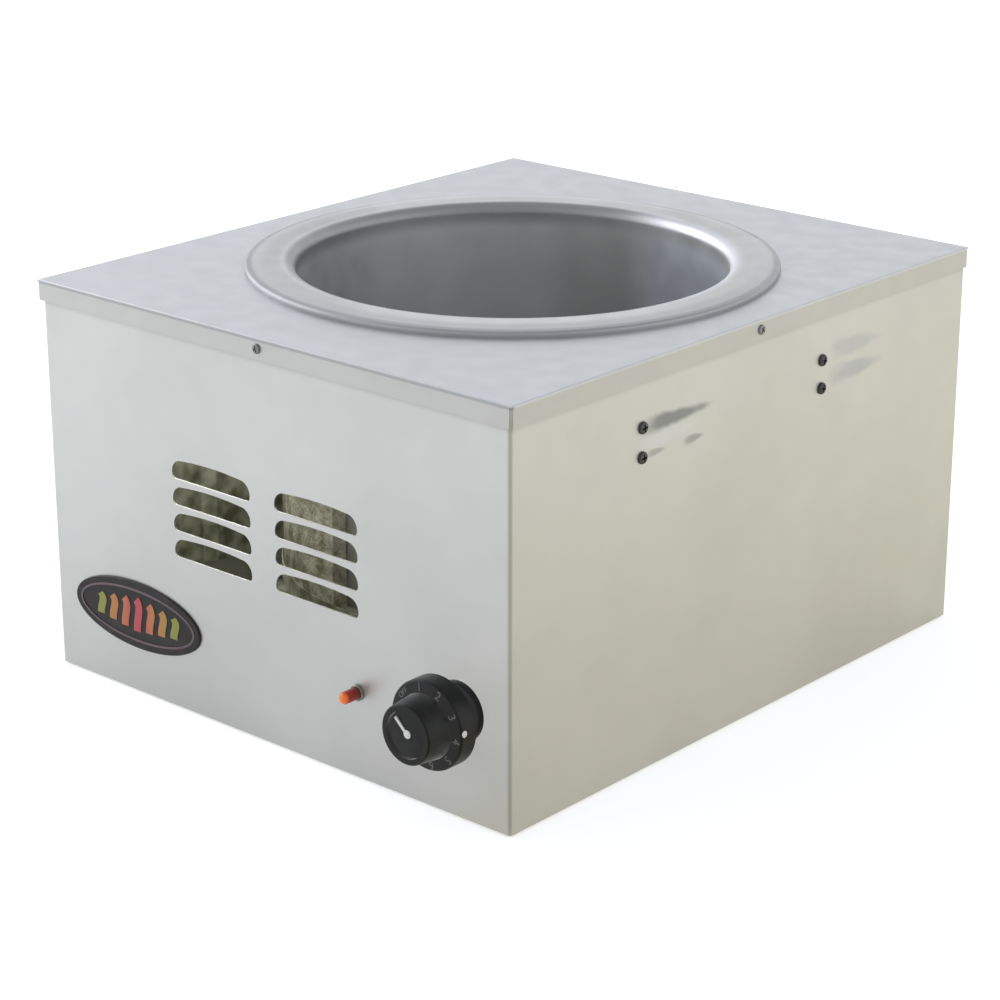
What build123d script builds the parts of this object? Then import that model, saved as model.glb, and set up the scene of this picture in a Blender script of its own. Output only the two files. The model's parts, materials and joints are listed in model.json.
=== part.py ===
from build123d import *
import math
import os

# Countertop food warmer with one round heated well.
# Millimetres. +Z is up and the control face looks along -Y. The origin lies on the surface that the
# feet stand on, under the centre of the well.

# Sheet metal
SHEET = 1.0
BEND_R = 3.0
FLANGE = 16.0
MITRE_GAP = 0.6
FIT_GAP = 0.5

# Round well, drawn from one sheet with a raised rim
WELL_R = 133.5
WELL_DEPTH = 204.0
WELL_CORNER_R = 18.0
RIM_W = 31.1
RIM_EDGE_H = 3.7
RIM_EDGE_R = 2.4
RIM_EDGE_MIN_R = 0.2
RIM_EDGE_FALL = 0.15
RIM_SHOULDER_W = 5.4
RIM_SHOULDER_H = 4.2
RIM_CREST_W = 13.0
RIM_CREST_H = 5.2
RIM_INNER_H = 4.6
RIM_ROLL_R = 6.6
WELL_HOLE_GAP = 2.0
SEAL_W = 16.0

# Deck plate with folded skirts
DECK_MARGIN_SIDE = 25.4
DECK_MARGIN_END = 53.9
SKIRT_H = 12.7
SKIRT_PLAY = 0.9
SKIRT_NOTCH = 1.4
DECK_EDGE_R = 0.9

# Under the well
STUD_LENGTH = 20.0
STUD_R = 2.5
STUD_CIRCLE_R = 62.0
STUD_COUNT = 4
HEATER_R = 94.0
HEATER_T = 3.0
PAD_T = 8.0
CLAMP_T = 2.0
NUT_T = 4.0
NUT_R = 4.6
UNDER_GAP = 16.2
LIMIT_R = 8.0
LIMIT_FOOT_R = 6.0
LIMIT_T = 7.0
LIMIT_GAP = 3.0
LIMIT_AZIMUTH = 40.0
HEATER_TAB_AZIMUTH = [-40.0, 20.0]
HOLE_PLAY = 0.2
CLAMP_LIP = 4.0

# Base pan and feet
PAN_RISE = 6.0
PAN_STEP_R = 12.0
FOOT_PROUD = 1.2
FOOT_R = 11.0
FOOT_TOP_R = 9.5
FOOT_INSET = 52.0
FOOT_SCREW_R = 2.0
FOOT_WELL_R = 5.0
FOOT_WELL_H = 5.0
FOOT_EDGE_R = 1.0
FOOT_HEAD_R = 4.0
FOOT_HEAD_H = 2.0
FOOT_NUT_R = 4.6
FOOT_NUT_T = 3.0
PAN_SLOT_L = 46.0
PAN_SLOT_W = 6.0
PAN_SLOT_PITCH = 16.0
PAN_SLOT_ROWS = 6
PAN_SLOT_OUT = 62.0
RIVET_R = 1.6
RIVET_HEAD_R = 3.2
RIVET_HEAD_H = 0.8
RIVET_TAIL_R = 2.4
RIVET_TAIL_H = 1.8
RIVET_SPREAD = 80.0

# Vents in the front
VENT_ROWS = 4
VENT_COLUMNS = 2
VENT_W = 66.0
VENT_H = 13.2
VENT_SHOULDER = 2.2
VENT_CORNER_R = 8.0
VENT_FOOT_R = 3.0
VENT_BAR = 3.3
VENT_COLUMN_GAP = 20.0
VENT_OFF_CENTRE = 1.6
VENT_Z = 98.5

# Knob, its bezel and its shaft
KNOB_SIDE = 37.35
KNOB_Z = 64.8
BEZEL_R = 18.0
BEZEL_T = 3.6
BEZEL_EDGE = 0.8
KNOB_GAP = 0.4
HUB_R = 14.5
SKIRT_BACK = 15.5
DIAL_R = 26.3
DIAL_T = 12.5
DIAL_WALL = 2.2
DIAL_EDGE_R = 1.6
DIAL_SLOPE = 1.0
GRIP_R = 19.2
GRIP_FRONT_R = 17.5
GRIP_L = 15.8
GRIP_EDGE_R = 1.2
KNOB_RIBS = 6
KNOB_RIB_T = 1.6
KNOB_RIB_BACK = 1.5
DISH_R = 13.8
DISH_DEPTH = 2.6
DISH_CROWN = 0.8
POINTER_W = 1.8
POINTER_L = 9.4
POINTER_PROUD = 0.5
POINTER_ANGLE = 137.0
POINTER_START = 2.4
SHAFT_R = 3.15
SHAFT_FLAT = 0.8
SHAFT_RUN = 0.05
SHAFT_TOP = 35.0
FLAT_FROM = 6.0
CAM_R = 7.0
CAM_T = 3.0
CAM_GAP = 2.0

# Thermostat behind the front
CONTROL_W = 40.0
CONTROL_H = 46.0
CONTROL_D = 30.0
CONTROL_WALL = 2.0
CONTROL_CORNER_R = 3.0
CONTROL_HEAD_R = 3.3
BUSH_R = 5.0
CONTROL_SCREW_PITCH = 28.0
SPADE_W = 6.3
SPADE_T = 0.8
SPADE_L = 9.0
SPADE_PITCH = 14.0
SPADE_SHIFT = 6.0

# Capillary tube and its bulb
CAPILLARY_R = 1.1
CAPILLARY_BEND = 14.0
CAPILLARY_RUN = 28.0
CAPILLARY_SIDE = 8.0
CAPILLARY_DROP = 14.0
CAPILLARY_UNDER = 6.0
BULB_R = 3.2
BULB_L = 84.0
BULB_FROM_FLOOR = 34.0
BULB_AZIMUTH = -103.0
BULB_GAP = 0.2
CLIP_T = 0.8
CLIP_H = 14.0
CLIP_WING = 7.0

# Blanket round the well
BLANKET_T = 11.0
BLANKET_TOP_GAP = 14.0
BLANKET_FOOT_GAP = 2.0
BLANKET_PLAY = 0.3
BLANKET_SLOT = 30.0
STRAP_W = 12.0
STRAP_T = 0.6
STRAP_INSET = 2.0
STRAP_PLAY = 0.2

# Pilot lamp
LAMP_TO_KNOB = 77.75
LAMP_DROP = 11.5
LAMP_BARREL_R = 4.0
LAMP_BARREL_L = 20.0
LAMP_RING_R = 4.9
LAMP_RING_T = 2.0
LAMP_RING_EDGE = 0.6
LENS_R = 3.7
LENS_L = 14.0
LENS_DOME = 2.6
LAMP_NUT_R = 7.0
LAMP_NUT_T = 2.6
LAMP_TAB_W = 2.8
LAMP_TAB_GAP = 3.4
LAMP_TAB_L = 7.0

# Oval name plate, blank
PLATE_SIDE = 74.6
PLATE_Z = 50.8
PLATE_W = 111.8
PLATE_H = 43.6
PLATE_T = 1.5
PLATE_EDGE = 0.5
PLATE_BORDER = 4.6
PLATE_FIELD_DROP = 0.3

# Heat shields inside the two side walls
SHIELD_T = 0.8
SHIELD_STAND = 7.0
SHIELD_PAD_W = 22.0
SHIELD_PAD_MARGIN = 8.0
SHIELD_FOOT_Z = 34.0

# Screws
SKIRT_SCREW_HEAD_R = 3.0
SKIRT_SCREW_HEAD_H = 1.3
SKIRT_SCREW_DROP = 6.2
SKIRT_SCREW_R = 1.7
SIDE_SCREW_HEAD_R = 3.7
SIDE_SCREW_HEAD_H = 2.0
SIDE_SCREW_R = 2.0
SIDE_SCREW_TOP = 39.7
SIDE_SCREW_PITCH = 17.5
SIDE_SCREW_FRONT = 110.6
SIDE_SCREW_SPAN = 171.0
PANEL_SCREW_HEAD_R = 3.6
PANEL_SCREW_HEAD_H = 1.9
PANEL_SCREW_R = 1.9
PANEL_SCREW_ROWS = 3
PANEL_SCREW_END = 26.0
SCREW_LENGTH = 8.0
SCREW_PLAY = 0.1
HEAD_CHAMFER = 0.6

# Power entry at the back
ENTRY_SIDE = 62.0
ENTRY_Z = 42.0
ENTRY_BORE_R = 4.5
ENTRY_BODY_R = 8.7
ENTRY_FLANGE_R = 12.0
ENTRY_FLANGE_T = 3.4
ENTRY_BODY_L = 10.0
ENTRY_LATCH = 1.2
ENTRY_LATCH_L = 3.5
ENTRY_EDGE = 1.0

# Terminal block and earth stud
BLOCK_L = 54.0
BLOCK_D = 20.0
BLOCK_H = 15.0
BLOCK_POLES = 3
BLOCK_WELL_R = 3.2
BLOCK_WELL_DEPTH = 9.0
BLOCK_ENTRY_R = 2.2
BLOCK_ENTRY_Z = 3.4
BLOCK_SCREW_OUT = 5.0
BLOCK_SCREW_R = 2.9
BLOCK_SCREW_H = 4.0
BLOCK_SLOT_W = 0.8
BLOCK_FROM_BACK = 90.0
EARTH_R = 2.0
EARTH_L = 14.0
EARTH_FROM_ENTRY = 48.0
EARTH_FROM_BACK = 46.0
EARTH_HEAD_R = 3.8
EARTH_HEAD_H = 1.5
EARTH_NUT_R = 4.0
EARTH_NUT_T = 3.2
WIRE_R = 1.5
WIRE_BEND = 12.0
WIRE_REACH = 30.0
WIRE_RISE = 5.0
BEND_SHARE = 0.45

# Levels, from the floor up
SHELL_Z0 = FOOT_PROUD
PAN_FLANGE_Z = SHELL_Z0 + SHEET
PAN_PLATE_Z = PAN_FLANGE_Z + PAN_RISE
STUD_Z = PAN_PLATE_Z + SHEET + UNDER_GAP
WELL_FLOOR_UNDER = STUD_Z + STUD_LENGTH
WELL_FLOOR = WELL_FLOOR_UNDER + SHEET
DECK_Z = WELL_FLOOR + WELL_DEPTH
DECK_UNDER = DECK_Z - SHEET
HEATER_Z = WELL_FLOOR_UNDER - HEATER_T
PAD_Z = HEATER_Z - PAD_T
CLAMP_Z = PAD_Z - CLAMP_T
NUT_Z = CLAMP_Z - NUT_T
WELL_TOP = DECK_Z + RIM_INNER_H - RIM_ROLL_R
BLANKET_Z0 = WELL_FLOOR + BLANKET_FOOT_GAP
BLANKET_Z1 = DECK_UNDER - BLANKET_TOP_GAP
CAPILLARY_Z = BLANKET_Z0 - CAPILLARY_UNDER
PAN_TOP = PAN_PLATE_Z + SHEET

# Plan sizes
RIM_R = WELL_R + RIM_W
WELL_OUT_R = WELL_R + SHEET
BLANKET_IN_R = WELL_OUT_R + BLANKET_PLAY
BLANKET_OUT_R = BLANKET_IN_R + BLANKET_T
LID_X = RIM_R + DECK_MARGIN_SIDE
LID_Y = RIM_R + DECK_MARGIN_END
OVERHANG = SHEET + SKIRT_PLAY
SHELL_X = LID_X - OVERHANG
SHELL_Y = LID_Y - OVERHANG
IN_X = SHELL_X - SHEET
IN_Y = SHELL_Y - SHEET
FRONT = -SHELL_Y
FRONT_IN = -IN_Y
BACK = SHELL_Y
BACK_IN = IN_Y
REAR_FLANGE_IN = BACK_IN - SHEET

# Places on the front
KNOB_X = SHELL_X - KNOB_SIDE
KNOB_H = SHELL_Z0 + KNOB_Z
LAMP_X = KNOB_X - LAMP_TO_KNOB
LAMP_H = KNOB_H - LAMP_DROP
PLATE_X = -SHELL_X + PLATE_SIDE
VENT_PITCH = VENT_H + VENT_BAR
SKIRT_SCREW_Z = DECK_Z - SKIRT_SCREW_DROP
SIDE_SCREW_Y = [FRONT + SIDE_SCREW_FRONT, FRONT + SIDE_SCREW_FRONT + SIDE_SCREW_SPAN]
SIDE_SCREW_Z = [DECK_Z - SIDE_SCREW_TOP, DECK_Z - SIDE_SCREW_TOP - SIDE_SCREW_PITCH]
ENTRY_X = SHELL_X - ENTRY_SIDE
ENTRY_H = SHELL_Z0 + ENTRY_Z
BLOCK_X = ENTRY_X
BLOCK_Y = BACK - BLOCK_FROM_BACK
EARTH_X = ENTRY_X - EARTH_FROM_ENTRY
EARTH_Y = BACK - EARTH_FROM_BACK
FOOT_SITES = []
for side in (-1, 1):
    for end in (-1, 1):
        FOOT_SITES.append((side * (SHELL_X - FOOT_INSET), end * (SHELL_Y - FOOT_INSET)))

LEFT_OUT = (-1, 0, 0)
RIGHT_OUT = (1, 0, 0)
FRONT_OUT = (0, -1, 0)
BACK_OUT = (0, 1, 0)
UP = (0, 0, 1)
DOWN = (0, 0, -1)

PARTS = {}


def keep(name, *solids):
    """Files one named piece, or one group of alike pieces."""
    flat = []
    for item in solids:
        flat.extend(item.solids())
    PARTS[name] = flat[0] if len(flat) == 1 else Compound(children=flat)


def block(x0, x1, y0, y1, z0, z1):
    """Box between two corners."""
    size = Box(x1 - x0, y1 - y0, z1 - z0)
    return Pos((x0 + x1) / 2, (y0 + y1) / 2, (z0 + z1) / 2) * size


def facing(at, out):
    """Frame at a point whose own Z looks along out. On the walls its X stays level."""
    across = (1, 0, 0) if out[0] == 0 else (0, 1, 0)
    return Plane(origin=at, x_dir=across, z_dir=out)


def rod(radius, at, out, length):
    """Round bar that starts at a point and runs along out."""
    bar = Cylinder(radius, length, align=(Align.CENTER, Align.CENTER, Align.MIN))
    return facing(at, out) * bar


def ring(outer, inner, z0, z1):
    """Flat ring about the well's axis."""
    body = Circle(outer) - Circle(inner)
    return Pos(0, 0, z0) * extrude(body, z1 - z0)


def turned(points, axis=Axis.Z):
    """Solid turned about an axis from a closed outline in the XZ plane."""
    outline = Polyline(*[(x, 0, z) for x, z in points], close=True)
    return revolve(make_face(outline), axis)


def dome(radius, foot, rise):
    """Arc from a wall at the foot up to the axis, centred on the axis."""
    sphere = (radius**2 + rise**2) / (2 * rise)
    angle = math.degrees(math.acos(radius / sphere))
    return CenterArc((0, foot + rise - sphere), sphere, angle, 90 - angle)


def pan_screw(head_r, head_h, shank_r, length):
    """Screw with its head seated at zero and its shank running down."""
    head = Cylinder(head_r, head_h, align=(Align.CENTER, Align.CENTER, Align.MIN))
    crown = head.edges().sort_by(Axis.Z)[-1]
    head = chamfer(crown, HEAD_CHAMFER, HEAD_CHAMFER * 1.5)
    shank = Cylinder(shank_r, length, align=(Align.CENTER, Align.CENTER, Align.MAX))
    return head + shank


def screw_at(at, out, head_r, head_h, shank_r, length=SCREW_LENGTH):
    """Screw whose head stands out of a wall."""
    return facing(at, out) * pan_screw(head_r, head_h, shank_r, length)


def trapezoid_flange(length, width, chamfer_in, z0):
    """Return flange, mitred at both ends. Its long edge lies on Y zero and it grows along +Y."""
    half = length / 2
    corners = [(-half, 0), (half, 0), (half - chamfer_in, width), (-half + chamfer_in, width)]
    outline = Polyline(*corners, close=True)
    return Pos(0, 0, z0) * extrude(make_face(outline), SHEET)


def vent_outline():
    """One half-moon slot: straight lower edge, crowned upper edge, rounded shoulders."""
    half = VENT_W / 2
    shoulder = VENT_H - VENT_SHOULDER
    foot = Line((-half, 0), (half, 0))
    right = Line((half, 0), (half, shoulder))
    crown = ThreePointArc((half, shoulder), (0, VENT_H), (-half, shoulder))
    left = Line((-half, shoulder), (-half, 0))
    face = make_face(foot + right + crown + left)
    upper = face.vertices().sort_by(Axis.Y)[-2:]
    face = fillet(upper, min(VENT_CORNER_R, 0.8 * shoulder))
    lower = face.vertices().sort_by(Axis.Y)[:2]
    return fillet(lower, VENT_FOOT_R)


def vent_cutter():
    """All slots of the front, as one tool that passes through the sheet."""
    slot = extrude(vent_outline(), 3 * SHEET)
    step = VENT_W + VENT_COLUMN_GAP
    tools = []
    for column in range(VENT_COLUMNS):
        x = (column - (VENT_COLUMNS - 1) / 2) * step - VENT_OFF_CENTRE
        for row in range(VENT_ROWS):
            z = SHELL_Z0 + VENT_Z + row * VENT_PITCH
            tools.append(facing((x, FRONT + 2 * SHEET, z), FRONT_OUT) * slot)
    return tools


def panel_screw_heights():
    """Heights of the screws down each rear edge."""
    low = SHELL_Z0 + PANEL_SCREW_END
    high = DECK_UNDER - PANEL_SCREW_END
    gap = (high - low) / (PANEL_SCREW_ROWS - 1)
    return [low + gap * row for row in range(PANEL_SCREW_ROWS)]


FLANGE_MID_X = IN_X - FLANGE / 2
FLANGE_MID_Y = IN_Y - FLANGE / 2
SIDE_RIVETS = []
for side in (-1, 1):
    for end in (-1, 0, 1):
        SIDE_RIVETS.append((side * FLANGE_MID_X, end * (FLANGE_MID_Y - 2 * FLANGE)))
FRONT_RIVETS = [(-RIVET_SPREAD, -FLANGE_MID_Y), (RIVET_SPREAD, -FLANGE_MID_Y)]
BACK_RIVETS = [(-RIVET_SPREAD, FLANGE_MID_Y), (RIVET_SPREAD, FLANGE_MID_Y)]
PAN_RIVET_SITES = SIDE_RIVETS + FRONT_RIVETS + BACK_RIVETS


def shell():
    """Front and both sides, bent from one sheet, with return flanges top, bottom and rear."""
    depth = BACK_IN - FRONT
    middle = (BACK_IN + FRONT) / 2
    outer = Pos(0, middle) * Rectangle(2 * SHELL_X, depth)
    front_corners = outer.vertices().sort_by(Axis.Y)[:2]
    outer = fillet(front_corners, BEND_R)
    inner_depth = depth - 2 * SHEET
    inner = Pos(0, middle) * Rectangle(2 * IN_X, inner_depth)
    inner_corners = inner.vertices().sort_by(Axis.Y)[:2]
    inner = fillet(inner_corners, max(BEND_R - SHEET, 0.3))
    doorway = Pos(0, BACK_IN) * Rectangle(2 * (IN_X - FLANGE), 6 * SHEET)
    wall = outer - inner - doorway
    body = Pos(0, 0, SHELL_Z0) * extrude(wall, DECK_UNDER - SHELL_Z0)
    inset = BEND_R - SHEET + MITRE_GAP
    for level in (SHELL_Z0, DECK_UNDER - SHEET):
        long_edge = trapezoid_flange(2 * (IN_X - inset), FLANGE, FLANGE, level)
        body += Pos(0, FRONT_IN, 0) * long_edge
        side_length = inner_depth - 2 * inset
        flank = trapezoid_flange(side_length, FLANGE, FLANGE, level)
        body += Pos(-IN_X, middle, 0) * Rot(0, 0, -90) * flank
        body += Pos(IN_X, middle, 0) * Rot(0, 0, 90) * flank
    for tool in vent_cutter():
        body -= tool
    through = 3 * SHEET
    body -= rod(LAMP_BARREL_R + SCREW_PLAY, (LAMP_X, FRONT_IN + SHEET, LAMP_H), FRONT_OUT, through)
    body -= rod(BUSH_R + SCREW_PLAY, (KNOB_X, FRONT_IN + SHEET, KNOB_H), FRONT_OUT, through)
    for step in (-1, 1):
        x = KNOB_X + step * CONTROL_SCREW_PITCH / 2
        body -= rod(PANEL_SCREW_R + SCREW_PLAY, (x, FRONT_IN + SHEET, KNOB_H), FRONT_OUT, through)
    body -= rod(SKIRT_SCREW_R + SCREW_PLAY, (0, FRONT_IN + SHEET, SKIRT_SCREW_Z), FRONT_OUT, through)
    for out in (LEFT_OUT, RIGHT_OUT):
        x = out[0] * (IN_X - SHEET)
        body -= rod(SKIRT_SCREW_R + SCREW_PLAY, (x, 0, SKIRT_SCREW_Z), out, through)
        for y in SIDE_SCREW_Y:
            for z in SIDE_SCREW_Z:
                body -= rod(SIDE_SCREW_R + SCREW_PLAY, (x, y, z), out, through)
        for z in panel_screw_heights():
            at = (out[0] * FLANGE_MID_X, REAR_FLANGE_IN - SHEET, z)
            body -= rod(PANEL_SCREW_R + SCREW_PLAY, at, BACK_OUT, through)
    for x, y in SIDE_RIVETS + FRONT_RIVETS:
        body -= rod(RIVET_R + SCREW_PLAY, (x, y, SHELL_Z0 - SHEET), UP, through)
    keep("shell", body)


def back_panel():
    """Flat rear sheet with a flange at the top and at the bottom."""
    body = block(-SHELL_X, SHELL_X, BACK_IN, BACK, SHELL_Z0, DECK_UNDER)
    reach = IN_X - FLANGE - FIT_GAP
    for level in (SHELL_Z0, DECK_UNDER - SHEET):
        lip = trapezoid_flange(2 * reach, FLANGE, FLANGE / 2, level)
        body += Pos(0, BACK_IN, 0) * Rot(0, 0, 180) * lip
    through = 3 * SHEET
    for side in (-1, 1):
        for z in panel_screw_heights():
            at = (side * FLANGE_MID_X, BACK_IN - SHEET, z)
            body -= rod(PANEL_SCREW_R + SCREW_PLAY, at, BACK_OUT, through)
    body -= rod(ENTRY_BODY_R + SCREW_PLAY, (ENTRY_X, BACK_IN - SHEET, ENTRY_H), BACK_OUT, through)
    body -= rod(SKIRT_SCREW_R + SCREW_PLAY, (0, BACK_IN - SHEET, SKIRT_SCREW_Z), BACK_OUT, through)
    for x, y in BACK_RIVETS:
        body -= rod(RIVET_R + SCREW_PLAY, (x, y, SHELL_Z0 - SHEET), UP, through)
    keep("back_panel", body)


def deck():
    """Top plate with four folded skirts that stop short of the corners."""
    plate = block(-LID_X, LID_X, -LID_Y, LID_Y, DECK_UNDER, DECK_Z)
    skirt_foot = DECK_Z - SKIRT_H
    for side in (-1, 1):
        x0, x1 = sorted((side * LID_X, side * (LID_X - SHEET)))
        plate += block(x0, x1, -LID_Y + SKIRT_NOTCH, LID_Y - SKIRT_NOTCH, skirt_foot, DECK_Z)
        y0, y1 = sorted((side * LID_Y, side * (LID_Y - SHEET)))
        plate += block(-LID_X + SKIRT_NOTCH, LID_X - SKIRT_NOTCH, y0, y1, skirt_foot, DECK_Z)
    top = plate.faces().sort_by(Axis.Z)[-1]
    plate = fillet(top.edges(), min(DECK_EDGE_R, 0.9 * SHEET))
    plate -= rod(WELL_OUT_R + WELL_HOLE_GAP, (0, 0, DECK_UNDER - SHEET), UP, 3 * SHEET)
    through = 3 * SHEET
    for out in (LEFT_OUT, RIGHT_OUT):
        at = (out[0] * (LID_X - 2 * SHEET), 0, SKIRT_SCREW_Z)
        plate -= rod(SKIRT_SCREW_R + SCREW_PLAY, at, out, through)
    for out in (FRONT_OUT, BACK_OUT):
        at = (0, out[1] * (LID_Y - 2 * SHEET), SKIRT_SCREW_Z)
        plate -= rod(SKIRT_SCREW_R + SCREW_PLAY, at, out, through)
    keep("deck", plate)


def rim_skin(lower):
    """Crowned top of the rim from the roll to the edge, lowered by the sheet for its underside."""
    edge_in = max(RIM_EDGE_R, lower + RIM_EDGE_MIN_R)
    points = [
        (WELL_R + RIM_ROLL_R, DECK_Z + RIM_INNER_H - lower),
        (RIM_R - RIM_CREST_W, DECK_Z + RIM_CREST_H - lower),
        (RIM_R - RIM_SHOULDER_W, DECK_Z + RIM_SHOULDER_H - lower),
        (RIM_R - edge_in, DECK_Z + RIM_EDGE_H - lower),
    ]
    return Spline(*points, tangents=[(1, 0), (1, -RIM_EDGE_FALL)])


def well():
    """Drawn well: straight wall, rounded floor corner, and a rim that rolls over the deck."""
    corner_x = WELL_R - WELL_CORNER_R
    corner = (corner_x, WELL_FLOOR + WELL_CORNER_R)
    roll = (WELL_R + RIM_ROLL_R, WELL_TOP)
    edge_z = DECK_Z + RIM_EDGE_H
    lip_r = max(RIM_EDGE_R, SHEET + RIM_EDGE_MIN_R)
    lip = (RIM_R - lip_r, edge_z - lip_r)
    skin = [
        Line((0, WELL_FLOOR), (corner_x, WELL_FLOOR)),
        CenterArc(corner, WELL_CORNER_R, -90, 90),
        Line((WELL_R, corner[1]), (WELL_R, WELL_TOP)),
        CenterArc(roll, RIM_ROLL_R, 90, 90),
        rim_skin(0),
        CenterArc(lip, lip_r, 0, 90),
        Line((RIM_R, lip[1]), (RIM_R, DECK_Z)),
        Line((RIM_R, DECK_Z), (RIM_R - SHEET, DECK_Z)),
        Line((RIM_R - SHEET, DECK_Z), (RIM_R - SHEET, lip[1])),
        CenterArc(lip, lip_r - SHEET, 0, 90),
        rim_skin(SHEET),
        CenterArc(roll, RIM_ROLL_R - SHEET, 90, 90),
        Line((WELL_OUT_R, WELL_TOP), (WELL_OUT_R, corner[1])),
        CenterArc(corner, WELL_CORNER_R + SHEET, -90, 90),
        Line((corner_x, WELL_FLOOR_UNDER), (0, WELL_FLOOR_UNDER)),
        Line((0, WELL_FLOOR_UNDER), (0, WELL_FLOOR)),
    ]
    section = Plane.XZ * make_face(skin)
    keep("well", revolve(section, Axis.Z))


def rim_seal():
    """Flat gasket between the deck and the rim."""
    inner = WELL_R + RIM_ROLL_R + FIT_GAP
    keep("rim_seal", ring(inner + SEAL_W, inner, DECK_Z, DECK_Z + RIM_INNER_H - SHEET))


def rounded(half_x, y0, y1, radius):
    """Upright rectangle in plan with rounded corners, centred on X."""
    return Pos(0, (y0 + y1) / 2) * RectangleRounded(2 * half_x, y1 - y0, radius)


def base_pan():
    """Pan that closes the bottom: a flange on the shell's flanges and a plate one step higher."""
    half = IN_X - FIT_GAP
    y0 = FRONT_IN + FIT_GAP
    y1 = REAR_FLANGE_IN - FIT_GAP
    step = half - FLANGE
    outside = rounded(half, y0, y1, BEND_R)
    step_out = rounded(step, y0 + FLANGE, y1 - FLANGE, PAN_STEP_R)
    step_in = rounded(step - SHEET, y0 + FLANGE + SHEET, y1 - FLANGE - SHEET, PAN_STEP_R - SHEET)
    body = Pos(0, 0, PAN_FLANGE_Z) * extrude(outside - step_in, SHEET)
    body += Pos(0, 0, PAN_FLANGE_Z) * extrude(step_out - step_in, PAN_RISE + SHEET)
    body += Pos(0, 0, PAN_PLATE_Z) * extrude(step_out, SHEET)
    top = body.faces().sort_by(Axis.Z)[-1]
    body = fillet(top.edges(), min(DECK_EDGE_R, 0.9 * SHEET))
    slot = extrude(SlotOverall(PAN_SLOT_L, PAN_SLOT_W), 3 * SHEET)
    for bank in (-1, 1):
        for row in range(PAN_SLOT_ROWS):
            y = (row - (PAN_SLOT_ROWS - 1) / 2) * PAN_SLOT_PITCH
            body -= Pos(bank * PAN_SLOT_OUT, y, PAN_PLATE_Z - SHEET) * slot
    for x, y in FOOT_SITES:
        body -= rod(FOOT_SCREW_R + SCREW_PLAY, (x, y, PAN_PLATE_Z - SHEET), UP, 3 * SHEET)
    body -= rod(EARTH_R + SCREW_PLAY, (EARTH_X, EARTH_Y, PAN_PLATE_Z - SHEET), UP, 3 * SHEET)
    for x, y in PAN_RIVET_SITES:
        body -= rod(RIVET_R + SCREW_PLAY, (x, y, PAN_FLANGE_Z - SHEET), UP, 3 * SHEET)
    keep("base_pan", body)


def foot_outline():
    """Half section of one bumper: tapered side, and a well in its sole for the screw."""
    points = [
        (FOOT_SCREW_R + SCREW_PLAY, FOOT_WELL_H),
        (FOOT_WELL_R, FOOT_WELL_H),
        (FOOT_WELL_R, 0),
        (FOOT_R - FOOT_EDGE_R, 0),
        (FOOT_R, FOOT_EDGE_R),
        (FOOT_TOP_R, PAN_PLATE_Z),
        (FOOT_SCREW_R + SCREW_PLAY, PAN_PLATE_Z),
    ]
    return points


def hex_nut(radius, thickness, bore):
    """Six-sided nut that stands on zero."""
    return extrude(RegularPolygon(radius, 6) - Circle(bore), thickness)


def feet():
    """Four rubber bumpers with their screws and nuts."""
    names = ["front_left", "rear_left", "front_right", "rear_right"]
    bumper = turned(foot_outline())
    screws = []
    nuts = []
    for name, (x, y) in zip(names, FOOT_SITES):
        keep("foot_" + name, Pos(x, y, 0) * bumper)
        seat = (x, y, FOOT_WELL_H)
        length = PAN_PLATE_Z + SHEET + FOOT_NUT_T + SHEET - FOOT_WELL_H
        screws.append(screw_at(seat, DOWN, FOOT_HEAD_R, FOOT_HEAD_H, FOOT_SCREW_R, length))
        nut = hex_nut(FOOT_NUT_R, FOOT_NUT_T, FOOT_SCREW_R + SCREW_PLAY)
        nuts.append(Pos(x, y, PAN_PLATE_Z + SHEET) * nut)
    keep("foot_screws", *screws)
    keep("foot_nuts", *nuts)


def name_plate():
    """Blank oval plate with a raised border."""
    outer = Ellipse(PLATE_W / 2, PLATE_H / 2)
    inner = Ellipse(PLATE_W / 2 - PLATE_BORDER, PLATE_H / 2 - PLATE_BORDER)
    body = extrude(outer, PLATE_T)
    crown = body.edges().group_by(Axis.Z)[-1]
    body = chamfer(crown, PLATE_EDGE)
    body -= Pos(0, 0, PLATE_T - PLATE_FIELD_DROP) * extrude(inner, PLATE_T)
    keep("name_plate", facing((PLATE_X, FRONT, SHELL_Z0 + PLATE_Z), FRONT_OUT) * body)


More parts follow.
